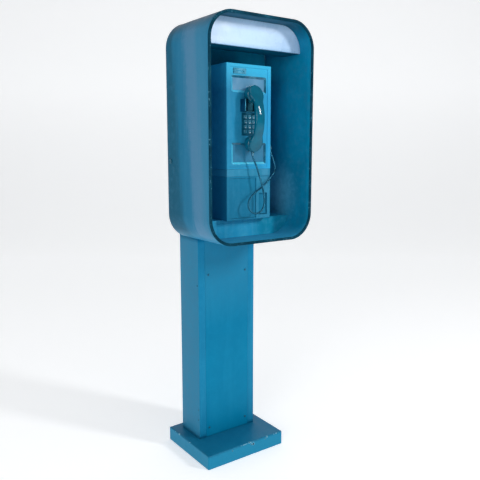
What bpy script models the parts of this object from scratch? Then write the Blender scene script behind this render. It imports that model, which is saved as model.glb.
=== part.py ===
"""A pedestal telephone booth: a payphone in a rounded hood, on a boxed column and a plinth.

Metres, +Z up. The front faces -Y and X runs to the right of someone who faces it. The origin is on the
ground, under the middle of the whole booth's outline.
"""

import math

import bmesh
import bpy
import numpy as np
from mathutils import Vector

GAP = 0.0003  # between pieces that touch
THROUGH = 0.01  # how far a cutter runs out past the piece it cuts

# Plinth
PLINTH_W = 0.345
PLINTH_D = 0.292
PLINTH_H = 0.053
PLINTH_CHAMFER = 0.004

# Column and rear upright
COLUMN_W = 0.256
COLUMN_D = 0.1325
COLUMN_SETBACK = 0.029  # the column's back, in from the plinth's back
COLUMN_WALL = 0.003
COVER_W = 0.196
COVER_T = 0.002
COVER_CLEAR = 0.0005  # between the cover's sides and the column's returns
COVER_LIP = 0.024  # the returns' lip behind the cover
COVER_BOTTOM = 0.0007  # cover's lower edge above the column's own foot
COVER_TOP = 0.0007  # cover's upper edge below the column's own head
TOP_PLATE_T = 0.0032
UPRIGHT_H = 0.50
CAP_T = 0.003

# Hood
HOOD_Z = 0.835  # underside of the hood above the ground
HOOD_W = 0.4375
HOOD_H = 0.7545
HOOD_D = 0.2747
HOOD_R = 0.093
HOOD_WALL = 0.008
HOOD_OVERHANG = 0.0952  # the hood's front, out past the plinth's front
RIM_D = 0.006
RIM_W = 0.010
BACK_T = 0.004
LOCK_R = 0.009
LOCK_PROUD = 0.003
LOCK_FROM_BACK = 0.022
LOCK_UP = 0.278
CORNER_STEPS = 10

# Header light box
SIGN_BACK = 0.0652  # the sign's face behind the hood's front
SIGN_H = 0.0978  # from its lower edge to the hood's top
SIGN_T = 0.004
SOFFIT_D = 0.085
SOFFIT_T = 0.003

# Shelf under the telephone
SHELF_BACK = 0.1202  # its face behind the hood's front
SHELF_T = 0.003
SHELF_H = 0.0727  # its top above the hood's underside

# Telephone
PHONE_W = 0.190
PHONE_D = 0.152
PHONE_BACK = 0.0852  # its face behind the hood's front
LOWER_H = 0.1535
BELT_H = 0.024
UPPER_H = 0.3549
BELT_INSET = 0.001
HOUSING_WALL = 0.004
LOWER_FRONT_T = 0.008
UPPER_FRONT_T = 0.012
HOUSING_BEVEL = 0.0015

# Vault door and coin return, in the lower housing
FRAME = 0.013  # the plain margin at the housing's left
VAULT_RIB = 0.002  # between the vault door's pocket and the coin return's
VAULT_MARGIN = 0.007
VAULT_POCKET = 0.005
VAULT_INSET = 0.002
RETURN_W = 0.060
RETURN_T = 0.003
RETURN_MARGIN = 0.003
CHUTE_W = 0.037
CHUTE_H = 0.077
CHUTE_UP = 0.0155  # the chute's sill above the housing's underside
FLAP_T = 0.002
FLAP_CLEAR = 0.0012
FLAP_DEPTH = 0.0058  # the flap's face behind the telephone's face

# Faceplate of the upper housing
PLATE_MARGIN = 0.0155
PLATE_TOP_MARGIN = 0.0115
PLATE_BOTTOM_MARGIN = 0.008
PLATE_POCKET = 0.0075
PLATE_INSET = 0.0015
PLATE_T = 0.0057
WINDOW_MARGIN = 0.006  # from the faceplate's sides
WINDOW_SLOPE_W = 0.006
WINDOW_SLOPE_D = 0.004
UPPER_WINDOW_H = 0.054
UPPER_WINDOW_UP = 0.4390  # window sills above the telephone's underside
LOWER_WINDOW_H = 0.072
LOWER_WINDOW_UP = 0.1960
CARD_T = 0.0013
ENTRY_W = 0.052
ENTRY_H = 0.018
ENTRY_MARGIN = 0.0135  # from the faceplate's left edge
ENTRY_UP = 0.5085
ENTRY_T = 0.002
SLOT_W = 0.030
SLOT_H = 0.003

# Keypad
KEYPAD_UP = 0.332  # its centre above the telephone's underside
KEY_PITCH_X = 0.0175
KEY_PITCH_Z = 0.0167
KEY_W = 0.0125
KEY_H = 0.0115
KEY_CLEAR = 0.0005
KEY_PROUD = 0.0026
KEY_L = 0.009
WELL_MARGIN = 0.004  # from the outer keys to the well's sides
BEZEL_T = 0.002
BEZEL_LAP = 0.0035  # the bezel's border past the well

# Hook and handset
CUP_UP = 0.432  # the earpiece's centre above the telephone's underside
MOUTH_UP = 0.2655
CUP_FLARE = 0.0105  # the cups' radius past half the handle's width
MOUTH_FLARE = 0.009
CUP_OFF = 0.0075  # the caps' faces in front of the faceplate
CUP_L = 0.024
HANDLE_W = 0.037
HANDLE_OUT = 0.0695  # the handle's outermost line in front of the telephone's face
HANDLE_T = 0.020
HANDLE_END = 0.0015  # the handle's ends past the cups
HANDLE_STATIONS = 25
HANDLE_LEAST = 0.004  # half the handle's width at its very ends
HANDLE_THIN = 0.0015  # and half its depth there
ARCH_BLUNT = 0.2  # the share of the arch that stays blunt to the handle's ends
BOW_SHARE = 0.62  # how far up and down from the middle the finger space runs
NECK_SHARE = 0.70  # and the handle's full width
FORK_CLEAR = 0.0065  # between the handle and each prong
HOOK_BOTTOM = 0.3735
HOOK_BASE_T = 0.006
PRONG_W = 0.0125
PRONG_OUT = 0.029
PRONG_CLEAR = 0.0012

# Handset cord
CORD_DIAMETER = 0.006
CORD_STEP = 0.0145
CORD_STUB = 0.004
GLAND_UP = 0.257
GLAND_BACK = 0.014  # the gland's axis behind the telephone's face
GLAND_W = 0.020  # out from the housing's side
GLAND_D = 0.015
GLAND_H = 0.017
GLAND_BEVEL = 0.003
FERRULE_L = 0.014
FERRULE_R = 0.0052
FERRULE_ON = 0.014  # its axis from the mouthpiece's own face

# Places that follow from the sizes
HOOD_FRONT = -(PLINTH_D + HOOD_OVERHANG) / 2
PLINTH_BACK = (PLINTH_D + HOOD_OVERHANG) / 2
HOOD_BACK = HOOD_FRONT + HOOD_D
COLUMN_BACK = PLINTH_BACK - COLUMN_SETBACK
COLUMN_FRONT = COLUMN_BACK - COLUMN_D
PANEL_FRONT = HOOD_BACK - BACK_T
SIGN_Y = HOOD_FRONT + SIGN_BACK
SIGN_Z = HOOD_Z + HOOD_H - SIGN_H
SHELF_Y = HOOD_FRONT + SHELF_BACK
SHELF_Z = HOOD_Z + SHELF_H
FACE_Y = HOOD_FRONT + PHONE_BACK
PHONE_REAR = FACE_Y + PHONE_D
PHONE_Z = SHELF_Z + GAP
BELT_Z = PHONE_Z + LOWER_H + GAP
UPPER_Z = BELT_Z + BELT_H + GAP
PLATE_Y = FACE_Y + PLATE_INSET
LEFT = -PHONE_W / 2
WINDOW_W = PHONE_W - 2 * (PLATE_MARGIN + WINDOW_MARGIN)
CUP_R = HANDLE_W / 2 + CUP_FLARE
MOUTH_R = HANDLE_W / 2 + MOUTH_FLARE
HANDSET_TOP = CUP_UP + CUP_R + HANDLE_END
HANDSET_BOTTOM = MOUTH_UP - MOUTH_R - HANDLE_END
FERRULE_OUT = CUP_OFF - PLATE_INSET + FERRULE_ON  # its axis in front of the telephone's face
FERRULE_TOP = MOUTH_UP - MOUTH_R - GAP
ENTRY_X = LEFT + PLATE_MARGIN + ENTRY_MARGIN + ENTRY_W / 2

COLOURS = {
    "teal_paint": ((0.02, 0.21, 0.36), 0.45, 0.0),
    "dark_teal_paint": ((0.01, 0.10, 0.19), 0.4, 0.0),
    "pale_panel": ((0.50, 0.62, 0.78), 0.35, 0.0),
    "phone_blue": ((0.03, 0.33, 0.60), 0.4, 0.0),
    "rubber": ((0.01, 0.03, 0.05), 0.7, 0.0),
    "card": ((0.33, 0.43, 0.58), 0.5, 0.0),
    "dark_plastic": ((0.01, 0.07, 0.10), 0.2, 0.0),
    "steel": ((0.45, 0.50, 0.55), 0.3, 1.0),
}


def material(name):
    found = bpy.data.materials.get(name)
    if found:
        return found
    colour, roughness, metallic = COLOURS[name]
    made = bpy.data.materials.new(name)
    made.use_nodes = True
    shader = made.node_tree.nodes["Principled BSDF"]
    shader.inputs["Base Color"].default_value = (*colour, 1.0)
    shader.inputs["Roughness"].default_value = roughness
    shader.inputs["Metallic"].default_value = metallic
    return made


def add(name, bm, finish, at=(0.0, 0.0, 0.0)):
    """A bmesh made an object, with its normals outward."""
    bmesh.ops.recalc_face_normals(bm, faces=bm.faces)
    mesh = bpy.data.meshes.new(name)
    bm.to_mesh(mesh)
    bm.free()
    mesh.materials.append(material(finish))
    made = bpy.data.objects.new(name, mesh)
    made.location = at
    bpy.context.scene.collection.objects.link(made)
    return made


def block(name, x, y, z, finish, at=(0.0, 0.0, 0.0), bevel=0.0):
    """A box between two values on each axis, its edges bevelled."""
    bm = bmesh.new()
    bmesh.ops.create_cube(bm, size=1.0)
    for v in bm.verts:
        v.co = Vector([(a + b) / 2 + (b - a) * c for (a, b), c in zip((x, y, z), v.co)])
    made = add(name, bm, finish, at)
    if bevel:
        rounding = made.modifiers.new("Bevel", "BEVEL")
        rounding.width = bevel
        rounding.segments = 2
    return made


def prism(name, outline, axis, low, high, finish, at=(0.0, 0.0, 0.0)):
    """An outline pulled along an axis: "y" takes (x, z) points and "z" takes (x, y) points."""
    bm = bmesh.new()
    place = {"y": lambda a, b: (a, low, b), "z": lambda a, b: (a, b, low)}[axis]
    face = bm.faces.new([bm.verts.new(place(a, b)) for a, b in outline])
    pulled = bmesh.ops.extrude_face_region(bm, geom=[face])["geom"]
    step = Vector((0, high - low, 0)) if axis == "y" else Vector((0, 0, high - low))
    bmesh.ops.translate(bm, vec=step, verts=[g for g in pulled if isinstance(g, bmesh.types.BMVert)])
    return add(name, bm, finish, at)


def ring(name, outer, inner, low, high, finish):
    """The wall between two (x, z) outlines with equally many points, from y = low to y = high."""
    bm = bmesh.new()
    loops = [
        [bm.verts.new((x, y, z)) for x, z in outline]
        for outline, y in ((outer, low), (outer, high), (inner, high), (inner, low))
    ]
    for a, b in zip(loops, loops[1:] + loops[:1]):
        for i in range(len(a)):
            j = (i + 1) % len(a)
            bm.faces.new((a[i], a[j], b[j], b[i]))
    return add(name, bm, finish)


def turned(name, profile, axis, at, finish, steps=24):
    """A solid of revolution from (distance along the axis, radius) points, closed at both ends."""
    bm = bmesh.new()
    turns = [2 * math.pi * i / steps for i in range(steps)]
    along = {
        "x": lambda d, a, b: (d, a, b),
        "-y": lambda d, a, b: (a, -d, b),
        "-z": lambda d, a, b: (a, b, -d),
    }[axis]
    loops = [
        [bm.verts.new(along(d, r * math.cos(t), r * math.sin(t))) for t in turns] for d, r in profile
    ]
    for a, b in zip(loops, loops[1:]):
        for i in range(steps):
            j = (i + 1) % steps
            bm.faces.new((a[i], a[j], b[j], b[i]))
    bm.faces.new(loops[0])
    bm.faces.new(loops[-1])
    return add(name, bm, finish, at)


def cut(made, *cutters):
    """Takes hidden cutters out of a piece, after any bevel it has."""
    for cutter in cutters:
        cutter.hide_render = True
        cutter.display_type = "WIRE"
        hole = made.modifiers.new("Cut", "BOOLEAN")
        hole.operation = "DIFFERENCE"
        hole.object = cutter


def rounded(inset, low=None, high=None):
    """The hood's outline in from its outer face, as (x, z) points, kept above low or below high."""
    half, radius = HOOD_W / 2, HOOD_R - inset
    x = half - HOOD_R
    bottom, top = HOOD_Z + HOOD_R, HOOD_Z + HOOD_H - HOOD_R
    points = []
    for cx, cz, start in ((x, top, 0), (-x, top, 90), (-x, bottom, 180), (x, bottom, 270)):
        for i in range(CORNER_STEPS + 1):
            turn = math.radians(start + 90 * i / CORNER_STEPS)
            points.append((cx + radius * math.cos(turn), cz + radius * math.sin(turn)))
    if low is not None:
        return clip(points, low, 1)
    if high is not None:
        return clip(points, high, -1)
    return points


def clip(points, level, side):
    """The part of a closed (x, z) outline on one side of a level: 1 keeps what is above."""
    kept = []
    for (x0, z0), (x1, z1) in zip(points, points[1:] + points[:1]):
        if side * (z0 - level) >= 0:
            kept.append((x0, z0))
        if (z0 - level) * (z1 - level) < 0:
            share = (level - z0) / (z1 - z0)
            kept.append((x0 + share * (x1 - x0), level))
    return kept


def inner_half_width(z, inset):
    """Half the width inside the hood at a height, in from its outer face."""
    bottom, top = HOOD_Z + HOOD_R, HOOD_Z + HOOD_H - HOOD_R
    away = max(bottom - z, z - top, 0.0)
    return HOOD_W / 2 - HOOD_R + math.sqrt((HOOD_R - inset) ** 2 - away**2)


def wider(pair, by=GAP):
    """A pair of values with each moved out."""
    return pair[0] - by, pair[1] + by


def mirrored(half):
    """A whole outline from the points on its +X side, in order."""
    return half + [(-x, y) for x, y in reversed(half)]


def make_plinth():
    y = (PLINTH_BACK - PLINTH_D, PLINTH_BACK)
    half = PLINTH_W / 2
    made = block("base_plinth", (-half, half), y, (0.0, PLINTH_H), "teal_paint")
    rounding = made.modifiers.new("Bevel", "BEVEL")
    rounding.width = PLINTH_CHAMFER
    rounding.segments = 2


def make_column():
    half, wall, lip = COLUMN_W / 2, COLUMN_WALL, COVER_W / 2 + COVER_CLEAR
    front, back = COLUMN_FRONT, COLUMN_BACK
    lip_y = front + COVER_T + GAP
    section = mirrored(
        [
            (half, back),
            (half, front),
            (lip, front),
            (lip, lip_y),
            (lip - COVER_LIP, lip_y),
            (lip - COVER_LIP, lip_y + wall),
            (lip + wall, lip_y + wall),
            (lip + wall, front + wall),
            (half - wall, front + wall),
            (half - wall, back - wall),
        ]
    )
    low, high = PLINTH_H + GAP, HOOD_Z - GAP - TOP_PLATE_T - GAP
    prism("column_body", section, "z", low, high, "teal_paint")
    block(
        "column_front_cover",
        (-COVER_W / 2, COVER_W / 2),
        (front, front + COVER_T),
        (low + COVER_BOTTOM, high - COVER_TOP),
        "teal_paint",
    )
    block(
        "column_top_plate",
        (-half, half),
        (front, back),
        (high + GAP, high + GAP + TOP_PLATE_T),
        "teal_paint",
    )


def make_upright():
    half, wall = COLUMN_W / 2, COLUMN_WALL
    front = HOOD_BACK + GAP
    section = mirrored(
        [
            (half, COLUMN_BACK),
            (half, front),
            (half - COVER_LIP, front),
            (half - COVER_LIP, front + wall),
            (half - wall, front + wall),
            (half - wall, COLUMN_BACK - wall),
        ]
    )
    low = HOOD_Z
    prism("rear_upright", section, "z", low, low + UPRIGHT_H, "teal_paint")
    block(
        "upright_cap",
        (-half, half),
        (front, COLUMN_BACK),
        (low + UPRIGHT_H + GAP, low + UPRIGHT_H + GAP + CAP_T),
        "teal_paint",
    )


def make_hood():
    shell_front = HOOD_FRONT + RIM_D + GAP
    ring("hood_shell", rounded(0.0), rounded(HOOD_WALL), shell_front, HOOD_BACK, "teal_paint")
    ring("hood_rim_trim", rounded(0.0), rounded(RIM_W), HOOD_FRONT, HOOD_FRONT + RIM_D, "rubber")
    outline = rounded(HOOD_WALL + GAP)
    prism("hood_back_panel", outline, "y", PANEL_FRONT, HOOD_BACK, "dark_teal_paint")
    lock_y, lock_z = HOOD_BACK - LOCK_FROM_BACK, HOOD_Z + LOCK_UP
    for side, name in ((-1, "side_lock_left"), (1, "side_lock_right")):
        x = side * (HOOD_W / 2 + GAP)
        profile = [(0.0, LOCK_R), (side * (LOCK_PROUD - GAP), LOCK_R * 0.86)]
        turned(name, profile, "x", (x, lock_y, lock_z), "steel")


def make_header():
    inset = HOOD_WALL + GAP
    outline = rounded(inset, low=SIGN_Z)
    prism("sign_panel", outline, "y", SIGN_Y, SIGN_Y + SIGN_T, "pale_panel")
    front = SIGN_Y + SIGN_T + GAP
    half = inner_half_width(SIGN_Z, inset)
    block(
        "light_box_soffit",
        (-half, half),
        (front, front + SOFFIT_D),
        (SIGN_Z, SIGN_Z + SOFFIT_T),
        "dark_teal_paint",
    )
    above = rounded(inset, low=SIGN_Z + SOFFIT_T + GAP)
    back = front + SOFFIT_D
    prism("light_box_back", above, "y", back - SOFFIT_T, back, "dark_teal_paint")


def make_shelf():
    inset = HOOD_WALL + GAP
    outline = rounded(inset, high=SHELF_Z - SHELF_T - GAP)
    prism("shelf_front_panel", outline, "y", SHELF_Y, SHELF_Y + SHELF_T, "teal_paint")
    half = inner_half_width(SHELF_Z - SHELF_T, inset)
    block(
        "shelf_top",
        (-half, half),
        (SHELF_Y, PANEL_FRONT - GAP),
        (SHELF_Z - SHELF_T, SHELF_Z),
        "teal_paint",
    )


def make_lower_housing():
    half, wall = PHONE_W / 2, HOUSING_WALL
    low, high = PHONE_Z, PHONE_Z + LOWER_H
    y, z = (FACE_Y, PHONE_REAR), (low, high)
    made = block("lower_housing", (-half, half), y, z, "phone_blue", bevel=HOUSING_BEVEL)
    bezel_x = (half - RETURN_MARGIN - RETURN_W, half - RETURN_MARGIN)
    vault = (LEFT + FRAME, bezel_x[0] - VAULT_RIB)
    vault_z = (low + VAULT_MARGIN, high - VAULT_MARGIN)
    bezel_z = (low + RETURN_MARGIN, high - RETURN_MARGIN)
    chute_x = (sum(bezel_x) / 2 - CHUTE_W / 2, sum(bezel_x) / 2 + CHUTE_W / 2)
    chute_z = (low + CHUTE_UP, low + CHUTE_UP + CHUTE_H)
    out, thick = FACE_Y - THROUGH, FACE_Y + LOWER_FRONT_T
    hollow = (-half + wall, half - wall), (thick, PHONE_REAR + THROUGH), (low + wall, high - wall)
    vault_pocket = wider(vault), (out, FACE_Y + VAULT_POCKET), wider(vault_z)
    return_pocket = wider(bezel_x), (out, FACE_Y + RETURN_T + GAP), wider(bezel_z)
    cut(
        made,
        block("lower_hollow", *hollow, "steel"),
        block("vault_pocket", *vault_pocket, "steel"),
        block("return_pocket", *return_pocket, "steel"),
        block("chute_hole", chute_x, (out, thick + THROUGH), chute_z, "steel"),
    )
    block(
        "vault_door",
        vault,
        (FACE_Y + VAULT_INSET, FACE_Y + VAULT_POCKET - GAP),
        vault_z,
        "phone_blue",
        bevel=0.0006,
    )
    bezel = block("coin_return_bezel", bezel_x, (FACE_Y, FACE_Y + RETURN_T), bezel_z, "phone_blue")
    cut(bezel, block("bezel_hole", chute_x, (out, thick), chute_z, "steel"))
    flap_w = CHUTE_W / 2 - FLAP_CLEAR
    pivot = (sum(chute_x) / 2, FACE_Y + FLAP_DEPTH + FLAP_T / 2, chute_z[1] - FLAP_CLEAR - FLAP_T / 2)
    block(
        "coin_return_flap",
        (-flap_w, flap_w),
        (-FLAP_T / 2, FLAP_T / 2),
        (-(CHUTE_H - 2 * FLAP_CLEAR - FLAP_T / 2), FLAP_T / 2),
        "dark_plastic",
        at=pivot,
    )


def make_belt():
    half = PHONE_W / 2 - BELT_INSET
    y = (FACE_Y + BELT_INSET, PHONE_REAR - HOUSING_BEVEL)
    made = block("belt_strip", (-half, half), y, (BELT_Z, BELT_Z + BELT_H), "phone_blue")
    inside = half - HOUSING_WALL
    hole_y = (y[0] + UPPER_FRONT_T, y[1] + THROUGH)
    hole = (-inside, inside), hole_y, (BELT_Z - THROUGH, BELT_Z + BELT_H + THROUGH)
    cut(made, block("belt_hollow", *hole, "steel"))


def window_cutter(name, sill, height):
    """A tapered cutter, wide at the faceplate's front and narrow at the card."""
    bm = bmesh.new()
    half, slope = WINDOW_W / 2, WINDOW_SLOPE_W
    steps = (
        (PLATE_Y - THROUGH, 0.0),
        (PLATE_Y, 0.0),
        (PLATE_Y + WINDOW_SLOPE_D, slope),
        (PLATE_Y + PLATE_T + THROUGH, slope),
    )
    loops = []
    for y, inset in steps:
        x, low, high = half - inset, sill + inset, sill + height - inset
        loops.append([bm.verts.new(p) for p in ((-x, y, low), (x, y, low), (x, y, high), (-x, y, high))])
    for a, b in zip(loops, loops[1:]):
        for i in range(4):
            j = (i + 1) % 4
            bm.faces.new((a[i], a[j], b[j], b[i]))
    bm.faces.new(loops[0])
    bm.faces.new(loops[-1])
    return add(name, bm, "steel")


def make_upper_housing():
    half, wall = PHONE_W / 2, HOUSING_WALL
    low, high = UPPER_Z, UPPER_Z + UPPER_H
    y, z = (FACE_Y, PHONE_REAR), (low, high)
    made = block("upper_housing", (-half, half), y, z, "phone_blue", bevel=HOUSING_BEVEL)
    plate_x = (-half + PLATE_MARGIN, half - PLATE_MARGIN)
    plate_z = (low + PLATE_BOTTOM_MARGIN, high - PLATE_TOP_MARGIN)
    front, thick = FACE_Y - THROUGH, FACE_Y + UPPER_FRONT_T
    pad_w, pad_h = keypad_hole()
    pad_z = (PHONE_Z + KEYPAD_UP - pad_h, PHONE_Z + KEYPAD_UP + pad_h)
    pad = (-pad_w, pad_w), (front, thick + THROUGH), pad_z
    hollow = (-half + wall, half - wall), (thick, PHONE_REAR + THROUGH), (low + wall, high - wall)
    cut(
        made,
        block("upper_hollow", *hollow, "steel"),
        block("plate_pocket", wider(plate_x), (front, FACE_Y + PLATE_POCKET), wider(plate_z), "steel"),
        block("keypad_well", *pad, "steel"),
    )
    plate = block("faceplate", plate_x, (PLATE_Y, PLATE_Y + PLATE_T), plate_z, "phone_blue")
    sills = {
        "upper_card": (PHONE_Z + UPPER_WINDOW_UP, UPPER_WINDOW_H),
        "lower_card": (PHONE_Z + LOWER_WINDOW_UP, LOWER_WINDOW_H),
    }
    cut(plate, block("plate_keypad_hole", *pad, "steel"))
    for name, (sill, height) in sills.items():
        cut(plate, window_cutter(name + "_window", sill, height))
        inset = WINDOW_SLOPE_W + GAP
        y = PLATE_Y + WINDOW_SLOPE_D
        block(
            name,
            (-WINDOW_W / 2 + inset, WINDOW_W / 2 - inset),
            (y, y + CARD_T),
            (sill + inset, sill + height - inset),
            "card",
        )
    x = (ENTRY_X - ENTRY_W / 2, ENTRY_X + ENTRY_W / 2)
    z = (PHONE_Z + ENTRY_UP - ENTRY_H / 2, PHONE_Z + ENTRY_UP + ENTRY_H / 2)
    y = (PLATE_Y - GAP - ENTRY_T, PLATE_Y - GAP)
    entry = block("coin_entry_plate", x, y, z, "steel")
    middle = sum(z) / 2
    slot = (ENTRY_X - SLOT_W / 2, ENTRY_X + SLOT_W / 2), (y[0] - THROUGH, y[1] + THROUGH)
    cut(entry, block("entry_slot", *slot, (middle - SLOT_H / 2, middle + SLOT_H / 2), "steel"))


def keypad_hole():
    """Half the width and half the height of the well behind the keypad's bezel."""
    return KEY_PITCH_X + KEY_W / 2 + WELL_MARGIN, 1.5 * KEY_PITCH_Z + KEY_H / 2 + WELL_MARGIN


def make_keypad():
    half_w, half_h = keypad_hole()
    back = PLATE_Y - GAP
    front = back - BEZEL_T
    middle = PHONE_Z + KEYPAD_UP
    x = (-half_w - BEZEL_LAP, half_w + BEZEL_LAP)
    z = (middle - half_h - BEZEL_LAP, middle + half_h + BEZEL_LAP)
    bezel = block("keypad_bezel", x, (front, back), z, "dark_teal_paint")
    names = (("1", "2", "3"), ("4", "5", "6"), ("7", "8", "9"), ("star", "0", "hash"))
    for row, labels in enumerate(names):
        for column, label in enumerate(labels):
            kx = (column - 1) * KEY_PITCH_X
            kz = middle + (1.5 - row) * KEY_PITCH_Z
            hole = (
                (kx - KEY_W / 2 - KEY_CLEAR, kx + KEY_W / 2 + KEY_CLEAR),
                (front - THROUGH, back + THROUGH),
                (kz - KEY_H / 2 - KEY_CLEAR, kz + KEY_H / 2 + KEY_CLEAR),
            )
            cut(bezel, block(f"hole_{label}", *hole, "steel"))
            block(
                f"key_{label}",
                (-KEY_W / 2, KEY_W / 2),
                (0.0, KEY_L),
                (-KEY_H / 2, KEY_H / 2),
                "steel",
                at=(kx, front - KEY_PROUD, kz),
                bevel=0.0008,
            )


def make_hook():
    """A base plate with two prongs under the earpiece, and the handle's gap between them."""
    inner = HANDLE_W / 2 + FORK_CLEAR
    half = inner + PRONG_W
    low = PHONE_Z + HOOK_BOTTOM
    back = PLATE_Y - GAP
    # where the earpiece's rim passes over the prongs' inner edges
    rest = PHONE_Z + CUP_UP - math.sqrt(CUP_R**2 - inner**2) - PRONG_CLEAR
    depth = back - (FACE_Y - PRONG_OUT)
    bm = bmesh.new()
    outline = [(-half, back), (-half, back - depth), (-inner, back - depth), (-inner, back - HOOK_BASE_T)]
    outline += [(-x, y) for x, y in reversed(outline)]
    face = bm.faces.new([bm.verts.new((x, y, low)) for x, y in outline])
    pulled = bmesh.ops.extrude_face_region(bm, geom=[face])["geom"]
    rise = Vector((0, 0, rest - low))
    bmesh.ops.translate(bm, vec=rise, verts=[g for g in pulled if isinstance(g, bmesh.types.BMVert)])
    add("hook_cradle", bm, "dark_plastic")


def handle_sections():
    """(height, half width, inner line, outer line) of the handle from its foot to its top.

    The inner and outer lines are distances in front of the telephone's face. Between the caps the handle
    is a bow: its outer line is an arch, and its inner line stays about a thickness behind that arch.
    """
    middle, reach = (HANDSET_TOP + HANDSET_BOTTOM) / 2, (HANDSET_TOP - HANDSET_BOTTOM) / 2
    cap_back = CUP_OFF + CUP_L + GAP - PLATE_INSET
    sections = []
    for i in range(HANDLE_STATIONS):
        share = -math.cos(math.pi * (i + 0.5) / HANDLE_STATIONS)
        z = middle + reach * share
        blunt, bowed = (1 - share**6) ** 0.5, (1 - share**2) ** 1.5
        arch = ARCH_BLUNT * blunt + (1 - ARCH_BLUNT) * bowed
        outer = cap_back + (HANDLE_OUT - cap_back) * arch
        bow = max(0.0, 1 - (abs(share) / BOW_SHARE) ** 4)
        inner = cap_back + (HANDLE_OUT - HANDLE_T - cap_back) * bow
        centre, radius = (CUP_UP, CUP_R) if share > 0 else (MOUTH_UP, MOUTH_R)
        lobe = math.sqrt(max(radius**2 - (z - centre) ** 2, HANDLE_LEAST**2))
        half = max(lobe, HANDLE_W / 2 if abs(share) < NECK_SHARE else HANDLE_LEAST)
        sections.append((z, half, inner, outer))
    return sections


def make_handset():
    bm = bmesh.new()
    steps = 16
    loops = []
    for z, half, inner, outer in handle_sections():
        deep = max((outer - inner) / 2, HANDLE_THIN)
        centre = inner + deep
        loop = []
        for k in range(steps):
            turn = 2 * math.pi * k / steps
            c, s = math.cos(turn), math.sin(turn)
            x = half * math.copysign(abs(c) ** 0.75, c)
            y = centre + deep * math.copysign(abs(s) ** 0.75, s)
            loop.append(bm.verts.new((x, FACE_Y - y, PHONE_Z + z)))
        loops.append(loop)
    for a, b in zip(loops, loops[1:]):
        for i in range(steps):
            j = (i + 1) % steps
            bm.faces.new((a[i], a[j], b[j], b[i]))
    bm.faces.new(loops[0])
    bm.faces.new(loops[-1])
    add("handset_handle", bm, "dark_plastic")
    for name, up, radius in (("earpiece_cap", CUP_UP, CUP_R), ("mouthpiece_cap", MOUTH_UP, MOUTH_R)):
        profile = [(0.0, radius - 0.006), (0.002, radius - 0.0015), (0.005, radius), (CUP_L, radius)]
        turned(name, profile, "-y", (0.0, PLATE_Y - CUP_OFF, PHONE_Z + up), "dark_plastic", steps=32)
    foot = PHONE_Z + FERRULE_TOP
    profile = [(0.0, FERRULE_R), (0.006, FERRULE_R), (FERRULE_L, FERRULE_R * 0.8)]
    turned("handset_ferrule", profile, "-z", (0.0, FACE_Y - FERRULE_OUT, foot), "steel", steps=16)


def cord_points():
    """The cord's own route: x, distance in front of the telephone's face, and height above its underside."""
    start_x = PHONE_W / 2 + GAP + GLAND_W / 2
    start_z = GLAND_UP - GLAND_H / 2 - GAP
    end_z = FERRULE_TOP - FERRULE_L - GAP
    return [
        (start_x, -GLAND_BACK, start_z),
        (0.106, -0.014, 0.240),
        (0.109, -0.013, 0.228),
        (0.114, -0.011, 0.214),
        (0.118, -0.007, 0.198),
        (0.117, -0.002, 0.181),
        (0.109, 0.003, 0.165),
        (0.091, 0.008, 0.148),
        (0.066, 0.012, 0.128),
        (0.041, 0.016, 0.112),
        (0.016, 0.020, 0.099),
        (-0.004, 0.023, 0.086),
        (-0.017, 0.026, 0.074),
        (-0.024, 0.029, 0.057),
        (-0.021, 0.031, 0.040),
        (-0.009, 0.033, 0.028),
        (0.008, 0.034, 0.024),
        (0.025, 0.035, 0.030),
        (0.037, 0.036, 0.046),
        (0.041, 0.035, 0.068),
        (0.038, 0.034, 0.098),
        (0.030, 0.032, 0.130),
        (0.020, 0.029, 0.163),
        (0.010, 0.025, 0.195),
        (0.003, 0.021, 0.213),
        (0.0, FERRULE_OUT, end_z),
    ]


def smooth_route(points, step):
    """Points about a step apart on the centripetal Catmull-Rom curve through the given ones."""
    p = np.array(points)
    p = np.vstack([2 * p[0] - p[1], p, 2 * p[-1] - p[-2]])
    fine = []
    for a, b, c, d in zip(p, p[1:], p[2:], p[3:]):
        knots = np.cumsum([0.0] + [np.linalg.norm(v) ** 0.5 for v in (b - a, c - b, d - c)])
        t = np.linspace(knots[1], knots[2], 24, endpoint=False)[:, None]
        k0, k1, k2, k3 = knots
        a1 = (k1 - t) / (k1 - k0) * a + (t - k0) / (k1 - k0) * b
        a2 = (k2 - t) / (k2 - k1) * b + (t - k1) / (k2 - k1) * c
        a3 = (k3 - t) / (k3 - k2) * c + (t - k2) / (k3 - k2) * d
        b1 = (k2 - t) / (k2 - k0) * a1 + (t - k0) / (k2 - k0) * a2
        b2 = (k3 - t) / (k3 - k1) * a2 + (t - k1) / (k3 - k1) * a3
        fine.append((k2 - t) / (k2 - k1) * b1 + (t - k1) / (k2 - k1) * b2)
    fine = np.vstack([*fine, p[-2]])
    along = np.concatenate([[0], np.cumsum(np.linalg.norm(np.diff(fine, axis=0), axis=1))])
    at = np.linspace(0, along[-1], max(2, round(along[-1] / step) + 1))
    return np.stack([np.interp(at, along, fine[:, k]) for k in range(3)], axis=1)


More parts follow.
